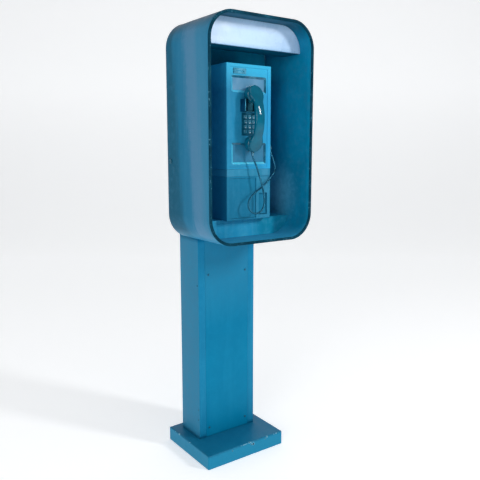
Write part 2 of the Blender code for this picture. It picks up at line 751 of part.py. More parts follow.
def make_cord():
    """A cast elbow on the housing's side, and the cord that hangs from its underside."""
    side, axis, middle = PHONE_W / 2 + GAP, FACE_Y + GLAND_BACK, PHONE_Z + GLAND_UP
    y = (axis - GLAND_D / 2, axis + GLAND_D / 2)
    z = (middle - GLAND_H / 2, middle + GLAND_H / 2)
    block("cord_gland", (side, side + GLAND_W), y, z, "steel", bevel=GLAND_BEVEL)
    route = smooth_route([(x, FACE_Y - out, PHONE_Z + up) for x, out, up in cord_points()], CORD_STEP)
    # both ends leave their fittings square
    leave, arrive = route[0] - (0, 0, CORD_STUB), route[-1] - (0, 0, CORD_STUB)
    route = np.vstack([route[0], leave, route[1:-1], arrive, route[-1]])
    curve = bpy.data.curves.new("handset_cord", "CURVE")
    curve.dimensions = "3D"
    curve.bevel_depth = CORD_DIAMETER / 2
    curve.bevel_resolution = 2
    curve.use_fill_caps = True
    spline = curve.splines.new("POLY")
    spline.points.add(len(route) - 1)
    for point, place in zip(spline.points, route):
        point.co = (*place, 1.0)
    curve.materials.append(material("steel"))
    bpy.context.scene.collection.objects.link(bpy.data.objects.new("handset_cord", curve))


def make_mounting_box():
    half = PHONE_W / 2 - 0.015
    block(
        "phone_mounting_box",
        (-half, half),
        (PHONE_REAR + GAP, PANEL_FRONT - GAP),
        (PHONE_Z + 0.020, UPPER_Z + UPPER_H - 0.020),
        "dark_teal_paint",
    )


def main():
    for old in list(bpy.data.objects):
        bpy.data.objects.remove(old)
    make_plinth()
    make_column()
    make_upright()
    make_hood()
    make_header()
    make_shelf()
    make_mounting_box()
    make_lower_housing()
    make_belt()
    make_upper_housing()
    make_keypad()
    make_hook()
    make_handset()
    make_cord()


main()
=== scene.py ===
"""The pedestal telephone booth's looks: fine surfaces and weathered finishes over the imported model.

Metres, +Z up, the front towards -Y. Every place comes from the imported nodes' boxes. A new piece is a
stack of rings worked out with numpy: a profile carried round an outline, a section carried along a
path, or a profile turned round an axis.
"""

import math

import bpy
import numpy as np
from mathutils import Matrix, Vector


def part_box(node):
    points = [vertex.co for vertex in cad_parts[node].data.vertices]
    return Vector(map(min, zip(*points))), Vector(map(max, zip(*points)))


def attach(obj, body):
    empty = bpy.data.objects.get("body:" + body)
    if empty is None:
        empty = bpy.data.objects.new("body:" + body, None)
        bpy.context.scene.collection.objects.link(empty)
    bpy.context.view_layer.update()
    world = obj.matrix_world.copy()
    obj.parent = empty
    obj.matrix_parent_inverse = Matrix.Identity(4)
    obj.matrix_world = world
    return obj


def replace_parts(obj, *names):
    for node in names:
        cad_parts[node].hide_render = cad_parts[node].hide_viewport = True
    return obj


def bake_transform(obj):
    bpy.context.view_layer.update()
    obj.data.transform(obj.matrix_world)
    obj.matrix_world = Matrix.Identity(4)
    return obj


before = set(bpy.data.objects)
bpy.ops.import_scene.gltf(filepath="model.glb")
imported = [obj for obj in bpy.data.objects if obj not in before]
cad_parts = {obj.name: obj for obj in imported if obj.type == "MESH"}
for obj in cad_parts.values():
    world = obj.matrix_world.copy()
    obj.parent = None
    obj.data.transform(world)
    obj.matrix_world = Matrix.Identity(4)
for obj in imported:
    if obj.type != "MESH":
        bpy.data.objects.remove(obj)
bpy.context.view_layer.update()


def span(node):
    """A node's lowest and highest corners as arrays."""
    low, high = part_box(node)
    return np.array(low, float), np.array(high, float)


HOOD_LO, HOOD_HI = span("hood_rim_trim")
HOOD_BACK = span("hood_shell")[1][1]
FACE_Y = span("upper_housing")[0][1]
PHONE_Z = span("lower_housing")[0][2]
PLATE_Y = span("faceplate")[0][1]
PLINTH_LO, PLINTH_HI = span("base_plinth")
GAP = 0.0003  # clearance between new pieces that meet

# ---------------------------------------------------------------- camera

LENS_MM = 43.84
CAMERA_AT = (-1.2259, -1.7679, 1.1558)
CAMERA_YAW = math.radians(-35.565)
CAMERA_DIP = math.radians(8.854)

camera = bpy.data.objects.new("camera", bpy.data.cameras.new("camera"))
camera.data.lens = LENS_MM
camera.data.sensor_width = 36.0
camera.location = CAMERA_AT
camera.rotation_euler = (math.pi / 2 - CAMERA_DIP, 0.0, CAMERA_YAW)
bpy.context.scene.collection.objects.link(camera)
bpy.context.scene.camera = camera
bpy.context.scene.view_settings.view_transform = "Standard"

# ---------------------------------------------------------------- meshes from arrays


def mesh_piece(name, points, faces, finish, body="root", smooth=True):
    """A closed surface made an object; its faces are turned over if its signed volume is negative."""
    flat = np.concatenate([np.asarray(f, np.int64).reshape(-1) for f in faces])
    sizes = np.concatenate([np.full(len(f), np.asarray(f).shape[1]) for f in faces])
    starts = np.concatenate([[0], np.cumsum(sizes)[:-1]])
    a = points[flat[starts]]
    volume = 0.0
    for k in range(1, int(sizes.max()) - 1):
        has = sizes > k + 1
        b, c = points[flat[starts[has] + k]], points[flat[starts[has] + k + 1]]
        volume += np.einsum("ij,ij->", a[has], np.cross(b, c))
    if volume < 0:
        flat = np.concatenate([np.asarray(f, np.int64)[:, ::-1].reshape(-1) for f in faces])
    mesh = bpy.data.meshes.new(name)
    mesh.vertices.add(len(points))
    mesh.vertices.foreach_set("co", np.asarray(points, np.float32).reshape(-1))
    mesh.loops.add(len(flat))
    mesh.loops.foreach_set("vertex_index", flat.astype(np.int32))
    mesh.polygons.add(len(sizes))
    mesh.polygons.foreach_set("loop_start", starts.astype(np.int32))
    mesh.polygons.foreach_set("loop_total", sizes.astype(np.int32))
    mesh.update(calc_edges=True)
    mesh.validate()
    if smooth:
        mesh.shade_smooth()
    return placed_in_scene(name, mesh, finish, body)


def placed_in_scene(name, mesh, finish, body):
    """A mesh as an object with its finish, riding a body unless that is None."""
    made = bpy.data.objects.new(name, mesh)
    bpy.context.scene.collection.objects.link(made)
    material, slot = FINISHES[finish]
    mesh.materials.append(material)
    if body is not None:
        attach(made, body)
    return made


def ring_faces(rows, columns, closed_rows=False):
    """The quads between neighbouring rings of a rows x columns stack whose rings close on themselves."""
    r = np.arange(rows if closed_rows else rows - 1)[:, None]
    c = np.arange(columns)[None, :]
    after, beside = (r + 1) % rows, (c + 1) % columns
    quads = [r * columns + c, r * columns + beside, after * columns + beside, after * columns + c]
    return np.stack([np.broadcast_to(q, (len(r), columns)) for q in quads], -1).reshape(-1, 4)


def fans(rings, points):
    """Triangles from each end ring of a stack to that end's middle, which is among the last two points."""
    rows, columns = rings.shape[:2]
    first = np.arange(columns)
    last = (rows - 1) * columns + first
    low, high = np.full(columns, len(points) - 2), np.full(columns, len(points) - 1)
    return [
        np.stack([low, np.roll(first, -1), first], -1),
        np.stack([high, last, np.roll(last, -1)], -1),
    ]


def with_middles(rings):
    """A stack's points, followed by the middles of its first and last rings."""
    return np.vstack([rings.reshape(-1, 3), rings[0].mean(0), rings[-1].mean(0)])


def stack(name, rings, finish, body="root", ends="poles", wear=None):
    """Rings (rows, columns, 3) joined in order. ends: "poles" closes each end with a fan to the ring's
    middle, "flat" with one face, and "loop" joins the last ring to the first."""
    rows, columns = rings.shape[:2]
    points = rings.reshape(-1, 3)
    faces = [ring_faces(rows, columns, ends == "loop")]
    if ends == "flat":
        first = np.arange(columns)[None, :]
        faces += [first[:, ::-1], (rows - 1) * columns + first]
    elif ends == "poles":
        points = with_middles(rings)
        faces += fans(rings, points)
    made = mesh_piece(name, points, faces, finish, body)
    if wear is not None:
        shown = np.zeros(len(points), np.float32)
        shown[: rows * columns] = np.broadcast_to(wear, (rows, columns)).reshape(-1)
        made.data.attributes.new("wear", "FLOAT", "POINT").data.foreach_set("value", shown)
    return made


def mark_inside(made, within):
    """Stores where a piece's rings take its finish's second pair of tones."""
    inside = made.data.attributes.new("inside", "FLOAT", "POINT")
    inside.data.foreach_set("value", within.astype(np.float32).reshape(-1))


# ---------------------------------------------------------------- outlines and sections


def rounded_track(half_a, half_b, radius, corner=12, side=6):
    """A rounded rectangle as (centres, normals): the outline grown by d is centres + normals x (radius + d).
    Round a corner the normal turns through 90 degrees; along a side the centre moves in a straight line."""
    turns = np.radians(np.array([0, 90, 180, 270])[:, None] + np.linspace(0, 90, corner)[None, :])
    normals = np.stack([np.cos(turns), np.sin(turns)], -1)
    signs = np.array([[1, 1], [-1, 1], [-1, -1], [1, -1]])
    middles = signs * (half_a - radius, half_b - radius)
    centres = np.repeat(middles[:, None, :], corner, 1)
    share = (np.arange(1, side + 1) / (side + 1))[None, :, None]
    ahead = np.roll(middles, -1, 0)[:, None, :]
    along = middles[:, None, :] * (1 - share) + ahead * share
    flat = np.repeat(normals[:, -1:, :], side, 1)
    return (
        np.concatenate([centres, along], 1).reshape(-1, 2),
        np.concatenate([normals, flat], 1).reshape(-1, 2),
    )


def bent_track(corners, radius, steps=6):
    """A polygon with each corner rounded, as (points, normals). Each corner becomes an arc that touches
    both its sides, starting radius x tan(half the turn) before the corner. One radius, or one a corner."""
    corners = np.asarray(corners, float)
    radius = np.broadcast_to(np.asarray(radius, float), len(corners))
    before = corners - np.roll(corners, 1, 0)
    after = np.roll(corners, -1, 0) - corners
    before /= np.linalg.norm(before, axis=1, keepdims=True)
    after /= np.linalg.norm(after, axis=1, keepdims=True)
    cross = before[:, 0] * after[:, 1] - before[:, 1] * after[:, 0]
    turn = np.arctan2(cross, (before * after).sum(1))
    side = np.sign(turn)
    inward = side[:, None] * np.stack([-before[:, 1], before[:, 0]], -1)
    reach = radius * np.tan(np.abs(turn) / 2)
    centre = corners - before * reach[:, None] + inward * radius[:, None]
    share = np.linspace(0, 1, steps)[None, :]
    start = np.arctan2(-inward[:, 1], -inward[:, 0])
    angle = start[:, None] + turn[:, None] * share
    arc = np.stack([np.cos(angle), np.sin(angle)], -1)
    points = centre[:, None, :] + radius[:, None, None] * arc
    nxt = np.roll(corners, -1, 0)
    area = np.sum(corners[:, 0] * nxt[:, 1] - nxt[:, 0] * corners[:, 1])
    normals = arc * (side[:, None, None] * np.sign(area))
    return points.reshape(-1, 2), normals.reshape(-1, 2)


def mirrored(half):
    """The left half of an outline whose right half is given, in the order that closes the outline."""
    return [(-x, y) for x, y in reversed(half)]


def quarter(radius, start, stop, steps=5):
    """Points of an arc between two angles in degrees, round the origin."""
    turn = np.radians(np.linspace(start, stop, steps))
    return radius * np.stack([np.cos(turn), np.sin(turn)], -1)


PLANES = {"xy": (0, 1, 2), "xz": (0, 2, 1)}


def carried(centres, normals, profile, plane, base=0.0):
    """A profile of (growth, height) carried round an outline: ring k is the outline grown by growth k,
    at height k along the third axis. base is the radius that the outline's own arcs have."""
    a, b, up = PLANES[plane]
    profile = np.asarray(profile, float)
    out = np.empty((len(profile), len(centres), 3))
    flat = centres[None] + normals[None] * (base + profile[:, 0])[:, None, None]
    out[..., a], out[..., b] = flat[..., 0], flat[..., 1]
    out[..., up] = profile[:, 1][:, None]
    return out


FACE_SHARES = np.array([0.12, 0.35, 0.6, 0.8, 0.92, 0.975])


def plate_rings(track, base, front, back, edge):
    """A plate's rings round the origin, facing the front: its face is the outline shrunk to the middle by
    each share, its edge is a quarter arc, and its back is flat."""
    arc = quarter(edge, 90, 0, 4)
    profile = [(p[0] - edge, front + edge - p[1]) for p in arc] + [(0.0, back)]
    shell = carried(*track, profile, "xz", base)
    fill = shell[0][None] * FACE_SHARES[:, None, None]
    fill[..., 1] = front
    return np.vstack([fill, shell])


def slab(name, node, finish, radius, edge):
    """A plate with rounded corners and edges that fills a node's box and stands in for the node."""
    low, high = span(node)
    middle, half = (low + high) / 2, (high - low) / 2
    track = rounded_track(half[0], half[2], radius, 8, 10)
    rings = plate_rings(track, radius, low[1], high[1], edge) + (middle[0], 0.0, middle[2])
    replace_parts(stack(name, rings, finish), node)


def turned(name, profile, at, along, finish, body="root", steps=32):
    """A profile of (distance, radius) turned round a line through a point, along one of the three axes."""
    out, radius = np.array(profile, float).T[:, :, None, None]
    along = np.asarray(along, float)
    helper = np.array([0.0, 0.0, 1.0]) if abs(along[2]) < 0.9 else np.array([1.0, 0.0, 0.0])
    side = np.cross(along, helper)
    other = np.cross(along, side)
    turn = np.linspace(0, 2 * math.pi, steps, endpoint=False)
    spokes = np.cos(turn)[:, None] * side + np.sin(turn)[:, None] * other
    return stack(name, np.asarray(at, float) + out * along + radius * spokes, finish, body)


def signed_power(value, power):
    """A value's size raised to a power, with the value's sign."""
    return np.sign(value) * np.abs(value) ** power


def noise(points, scale, seed):
    """A smooth value from 0 to 1 at each point: the mean of six sine waves with seeded directions."""
    draw = np.random.default_rng(seed)
    waves = draw.normal(size=(6, 3))
    waves /= np.linalg.norm(waves, axis=1, keepdims=True)
    phase = draw.uniform(0, 2 * math.pi, 6)
    pace = scale * draw.uniform(0.6, 1.7, 6)
    return 0.5 + 0.5 * np.sin((points @ waves.T) * pace + phase).mean(-1)


# ---------------------------------------------------------------- finishes


class Wiring:
    """A material's nodes, added by kind with their sockets set or linked by name."""

    def __init__(self, name):
        self.material = bpy.data.materials.new(name)
        self.material.use_nodes = True
        self.tree = self.material.node_tree
        self.shader = self.tree.nodes["Principled BSDF"]
        self.place = self.add("TexCoord").outputs["Object"]

    def add(self, kind, settings=(), **sockets):
        """A node of a kind; iN names an input by its number, any other keyword by its name."""
        made = self.tree.nodes.new("ShaderNode" + kind)
        for key, value in dict(settings).items():
            setattr(made, key, value)
        for key, value in sockets.items():
            self.put(made, key.replace("_", " "), value)
        return made

    def put(self, made, key, value):
        """Links an input to another node's output, or sets it to a constant."""
        socket = made.inputs[int(key[1:]) if key[0] == "i" and key[1:].isdigit() else key]
        if isinstance(value, bpy.types.NodeSocket):
            self.tree.links.new(value, socket)
        else:
            socket.default_value = value

    def math(self, operation, a, b=0.0, clamp=False):
        """One operation on two values."""
        return self.add("Math", {"operation": operation, "use_clamp": clamp}, i0=a, i1=b).outputs[0]

    def times(self, a, b):
        """a x b."""
        return self.math("MULTIPLY", a, b)

    def plus(self, a, b):
        """a + b."""
        return self.math("ADD", a, b)

    def swing(self, value, width):
        """A noise moved to swing about zero and made width high."""
        return self.times(self.math("SUBTRACT", value, 0.5), width)

    def band(self, value, low, high, to_low=0.0, to_high=1.0):
        """A value carried from one range to another and held inside it."""
        return self.add("MapRange", i0=value, i1=low, i2=high, i3=to_low, i4=to_high).outputs[0]

    def noise(self, scale, detail=4.0, rough=0.55, stretch=(1, 1, 1), warp=0.0):
        """Noise over the object's own coordinates, stretched along its axes."""
        place = self.add("Mapping", Vector=self.place, Scale=stretch).outputs[0]
        settings = {"Scale": scale, "Detail": detail, "Roughness": rough, "Distortion": warp}
        return self.add("TexNoise", Vector=place, **settings).outputs["Fac"]

    def mix(self, share, a, b):
        """Colour a changed to colour b by a share."""
        made = self.add("Mix", {"data_type": "RGBA"}, i0=share)
        for key, tone in (("i6", a), ("i7", b)):
            self.put(made, key, (*tone, 1.0) if isinstance(tone, tuple) else tone)
        return made.outputs[2]

    def tint(self, share, most, colour, tone):
        """A colour changed to a tone by a share, and by no more than most."""
        return self.mix(self.times(share, most), colour, tone)

    def ramp(self, value, stops):
        """A colour for a value from 0 to 1, blended between (place, colour) stops."""
        made = self.add("ValToRGB", Fac=value)
        line = made.color_ramp
        line.interpolation = "EASE"
        for k, (place, tone) in enumerate(stops):
            stop = line.elements[k] if k < 2 else line.elements.new(place)
            stop.position, stop.color = place, (*tone, 1.0)
        return made.outputs["Color"]

    def axis(self, which):
        """The object's own x, y or z."""
        return self.add("SeparateXYZ", Vector=self.place).outputs[which]

    def stored(self, name):
        """A value that the piece's points carry."""
        return self.add("Attribute", {"attribute_name": name}).outputs["Fac"]

    def bump(self, height, distance, strength, normal=None):
        """A bumped normal, on top of another one if given."""
        made = self.add("Bump", Height=height, Distance=distance, Strength=strength)
        if normal is not None:
            self.put(made, "Normal", normal)
        return made.outputs[0]

    def finish(self, colour, roughness, normal, **constants):
        """Joins the results to the shader and gives the material."""
        self.put(self.shader, "Base Color", colour)
        self.put(self.shader, "Roughness", roughness)
        self.put(self.shader, "Normal", normal)
        for key, value in constants.items():
            self.shader.inputs[key.replace("_", " ")].default_value = value
        return self.material


CHIP_RIM = (0.24, 0.56, 0.72)
CHIP_FLOOR = (0.008, 0.05, 0.09)
SHEEN_MID_Z = PHONE_Z + 0.3  # the height at which a leaning row of tones is where its ends say


def paint(name, base, deep, faded, rough=(0.30, 0.52), streaks=0.5, sides=None, gloss=0.07, painted_light=None,
          flecks=0.0, specks=0.25, inside=None, light_patch=None, fade=None, ramp=None):
    """Weathered enamel: broad patches between three tones, runs down the sides, fine mottling, pin-prick
    specks, chips where the piece's wear is high (pale round their edges, dark within), and an orange-peel
    bump. sides tones faces turned to +-X (a painted sheen), fade and painted_light tone one end of an
    axis (the second ragged; it paints light and shade), inside tones where the piece's inside attribute is
    1 (painted light), light_patch greys a patch round a place with a pale tone (painted light), and ramp
    runs a row of tones from front to back that leans with height (the hood's painted sheen and shade)."""
    w = Wiring(name)
    patches = w.noise(3.1, 5, 0.6)
    mottle = w.noise(42.0, 6, 0.62)
    runs = w.noise(9.0, 5, 0.6, (3.2, 3.2, 0.22), 0.4)
    fine = w.noise(260.0, 3, 0.6)
    colour = w.mix(w.band(patches, 0.36, 0.66), deep, base)
    colour = w.tint(w.band(runs, 0.50, 0.72), streaks, colour, faded)
    # faces turned to +-X take the sides tone: a painted sheen
    if sides is not None:
        normal = w.add("SeparateXYZ", Vector=w.add("NewGeometry").outputs["Normal"]).outputs[0]
        colour = w.tint(w.band(w.math("ABSOLUTE", normal), 0.55, 0.95), 0.85, colour, sides)
    # the ramp paints sheen and shade in bands: paler towards the front, darker towards the rear
    if ramp is not None:
        low, high, lean, stops = ramp
        place = w.plus(w.axis(1), w.times(w.math("SUBTRACT", w.axis(2), SHEEN_MID_Z), lean))
        place = w.plus(w.plus(place, w.swing(runs, 0.10)), w.swing(mottle, 0.03))
        colour = w.mix(0.88, colour, w.ramp(w.band(place, low, high), stops))
    # the inside tones are painted light: brighter inner faces on the hood, dark right and top sides on the
    # window beads
    if inside is not None:
        stains = w.noise(7.0, 6, 0.65, (1, 1, 0.6), 0.6)
        colour = w.mix(w.stored("inside"), colour, w.mix(w.band(stains, 0.40, 0.62), *inside))
    # one end of an axis toned: on the cover this is painted shade, on the plinth and the telephone painted
    # light
    if fade is not None:
        axis, low, high, tone, most = fade
        along = w.plus(w.axis(axis), w.times(runs, (high - low) * 0.3))
        colour = w.tint(w.band(along, low, high), most, colour, tone)
    # painted light and shade: one end of an axis toned, with a ragged edge
    if painted_light is not None:
        axis, low, high, tone, most = painted_light
        ragged = w.plus(w.swing(patches, (high - low) * 0.9), w.swing(mottle, (high - low) * 0.35))
        colour = w.tint(w.band(w.plus(w.axis(axis), ragged), low, high), most, colour, tone)
    # a patch of painted light round a place
    if light_patch is not None:
        place, reach, tone, most = light_patch
        away = w.add("VectorMath", {"operation": "DISTANCE"}, i0=w.place, i1=place).outputs["Value"]
        near = w.band(w.plus(away, w.swing(mottle, reach)), reach, reach * 0.2)
        colour = w.tint(near, most, colour, tone)
    colour = w.tint(w.band(mottle, 0.46, 0.70), 0.24, colour, faded)
    colour = w.tint(w.band(fine, 0.50, 0.72), specks, colour, deep)
    worn = w.plus(w.stored("wear"), w.swing(w.noise(150.0, 4, 0.7), 0.9))
    chip = w.band(worn, 0.62, 0.68)
    if flecks:
        chip = w.math("MAXIMUM", chip, w.times(w.band(w.noise(95.0, 3, 0.5), 0.735, 0.765), flecks))
    colour = w.mix(chip, colour, CHIP_RIM)
    colour = w.mix(w.band(worn, 0.78, 0.86), colour, CHIP_FLOOR)
    roughness = w.plus(w.times(mottle, 0.6), w.times(runs, 0.4))
    roughness = w.math("ADD", w.band(roughness, 0.35, 0.68, *rough), w.times(chip, 0.25), True)
    normal = w.bump(w.noise(620.0, 2, 0.5), 0.00012, 0.5)
    normal = w.bump(w.math("SUBTRACT", w.times(mottle, 0.3), chip), 0.0004, 0.5, normal)
    return w.finish(colour, roughness, normal, Specular_IOR_Level=gloss)


def metal(name, tone, dark, rough=(0.18, 0.42), brushed=(1, 1, 60)):
    """Worn steel: brushed lines along one axis, darker tarnish in patches, and fine pits."""
    w = Wiring(name)
    lines = w.noise(55.0, 5, 0.6, brushed)
    patches = w.noise(38.0, 5, 0.6)
    colour = w.mix(w.band(patches, 0.42, 0.68), tone, dark)
    colour = w.tint(w.band(lines, 0.45, 0.7), 0.35, colour, dark)
    roughness = w.band(lines, 0.3, 0.7, *rough)
    return w.finish(colour, roughness, w.bump(lines, 0.00006, 0.5), Metallic=1.0)


def moulded(name, base, deep, rough, gloss=0.5):
    """Moulded plastic: a slow change of tone, hand-worn gloss in patches, and fine grain."""
    w = Wiring(name)
    patches = w.noise(14.0, 5, 0.6)
    fine = w.noise(180.0, 4, 0.6)
    colour = w.mix(w.band(patches, 0.38, 0.66), deep, base)
    roughness = w.band(w.plus(w.times(patches, 0.7), w.times(fine, 0.3)), 0.36, 0.66, *rough)
    normal = w.bump(w.noise(900.0, 2, 0.5), 0.00004, 0.4)
    return w.finish(colour, roughness, normal, Specular_IOR_Level=gloss)


def opal(name):
    """The header's opal sheet: pale and clouded, smeared, with dirt specks, painted shade at its edges and a
    faint glow.
    """
    w = Wiring(name)
    cloud = w.noise(7.0, 5, 0.6)
    colour = w.mix(w.band(cloud, 0.36, 0.66), (0.30, 0.50, 0.76), (0.44, 0.66, 0.92))
    (_, _, low), (half, _, high) = span("sign_panel")
    x, z = w.math("ABSOLUTE", w.axis(0)), w.axis(2)
    # painted shade: darker along the foot, the top and the sides, the top band being the hood's shadow
    foot, top = w.band(z, low + 0.014, low), w.band(z, high - 0.020, high)
    edge = w.math("MAXIMUM", w.math("MAXIMUM", foot, top), w.band(x, half - 0.035, half))
    specks = w.noise(210.0, 4, 0.65)
    dirt = w.band(w.plus(specks, w.times(edge, 0.12)), 0.66, 0.72)
    smears = w.noise(22.0, 5, 0.65, (1, 1, 0.5))
    colour = w.tint(w.band(smears, 0.50, 0.70), 0.35, colour, (0.20, 0.40, 0.62))
    colour = w.tint(dirt, 0.85, colour, (0.02, 0.14, 0.25))
    colour = w.tint(edge, 0.6, colour, (0.06, 0.30, 0.52))
    roughness = w.band(cloud, 0.3, 0.7, 0.22, 0.42)
    # a faint glow: partly the light box's lamps, partly painted light that lifts the hood's shadow off the
    # sheet
    glow = {"Emission_Color": (0.70, 0.84, 1.0, 1.0), "Emission_Strength": 0.12}
    return w.finish(colour, roughness, w.bump(specks, 0.0002, 0.35), Specular_IOR_Level=0.5, **glow)


def rubber(name):
    """Dark edge trim, scuffed pale in patches."""
    w = Wiring(name)
    patches, fine = w.noise(16.0, 5, 0.6), w.noise(150.0, 4, 0.6)
    colour = w.mix(w.band(patches, 0.4, 0.65), (0.002, 0.035, 0.062), (0.004, 0.065, 0.11))
    scuffed = w.band(w.plus(fine, w.times(patches, 0.3)), 0.76, 0.84)
    colour = w.mix(scuffed, colour, (0.10, 0.30, 0.42))
    roughness = w.band(fine, 0.3, 0.7, 0.5, 0.7)
    return w.finish(colour, roughness, w.bump(fine, 0.0003, 0.4), Specular_IOR_Level=0.03)


def card(name, tone, deep):
    """A blank card under a clear sheet: a clouded tone with fine fibre, and gloss."""
    w = Wiring(name)
    cloud, fibre = w.noise(18.0, 5, 0.6), w.noise(420.0, 3, 0.6, (1, 1, 0.3))
    colour = w.mix(w.band(cloud, 0.36, 0.66), deep, tone)
    colour = w.tint(w.band(fibre, 0.45, 0.7), 0.2, colour, deep)
    roughness = w.band(cloud, 0.3, 0.7, 0.10, 0.22)
    return w.finish(colour, roughness, w.bump(fibre, 0.00005, 0.4), Specular_IOR_Level=0.5)


TEAL = (0.010, 0.240, 0.440)
TEAL_DEEP = (0.006, 0.200, 0.380)
TEAL_FADED = (0.022, 0.300, 0.500)
# the hood's painted sheen and shade, front to back: greyish and lavender sheen at the front, darkest at the
# rear
HOOD_SHEEN_AND_SHADE = (
    (0.0, (0.036, 0.225, 0.390)), (1.0, (0.002, 0.090, 0.160)), (0.12, (0.044, 0.240, 0.405)),
    (0.30, (0.090, 0.255, 0.420)), (0.42, (0.084, 0.250, 0.420)), (0.57, (0.014, 0.190, 0.350)),
    (0.66, (0.008, 0.175, 0.325)), (0.82, (0.002, 0.100, 0.180)),
)
# places for tones: a ramp is (from, to, lean, tones), a light_patch (place, reach, tone, most), and an
# fade or painted_light (axis, where it starts, where it is full, tone, most)
HOOD_SHEEN_BANDS = (HOOD_LO[1], HOOD_BACK, -0.10, HOOD_SHEEN_AND_SHADE)
# painted shade: darker towards the hood's top, inside and out
HOOD_TOP_SHADE = (2, HOOD_HI[2] - 0.055, HOOD_HI[2] - 0.012, (0.001, 0.060, 0.105), 0.9)
# painted light: a pale patch low on the hood's right wall
HOOD_WALL_LIGHT = ((HOOD_HI[0] - 0.008, 0.0, PHONE_Z + 0.08), 0.13, (0.10, 0.42, 0.64), 0.85)
HOOD_FOOT = (2, HOOD_LO[2] + 0.035, HOOD_LO[2], (0.05, 0.33, 0.55), 0.7)
PANEL_REAR = (1, HOOD_BACK - 0.0012, HOOD_BACK - 0.0006, (0.004, 0.17, 0.31), 0.8)
# painted shade: greyer and darker towards the cover's top, under the hood
COVER_TOP_SHADE = (2, 0.52, 0.72, (0.020, 0.225, 0.390), 0.9)
# painted light: the block's sides paler than its top
PLINTH_SIDE_LIGHT = (2, PLINTH_HI[2] - 0.002, PLINTH_HI[2] - 0.010, (0.010, 0.255, 0.440), 0.9)
# painted shadow: darker over the shelf's right-hand part
SHELF_SHADOW = (0, 0.03, 0.09, (0.004, 0.26, 0.42), 0.9)
PHONE_LIT_SIDE = (0, -0.02, 0.10, (0.03, 0.40, 0.74), 0.9)
PHONE_LIT_TOP = (2, PHONE_Z + 0.44, PHONE_Z + 0.52, (0.035, 0.50, 0.80), 0.9)

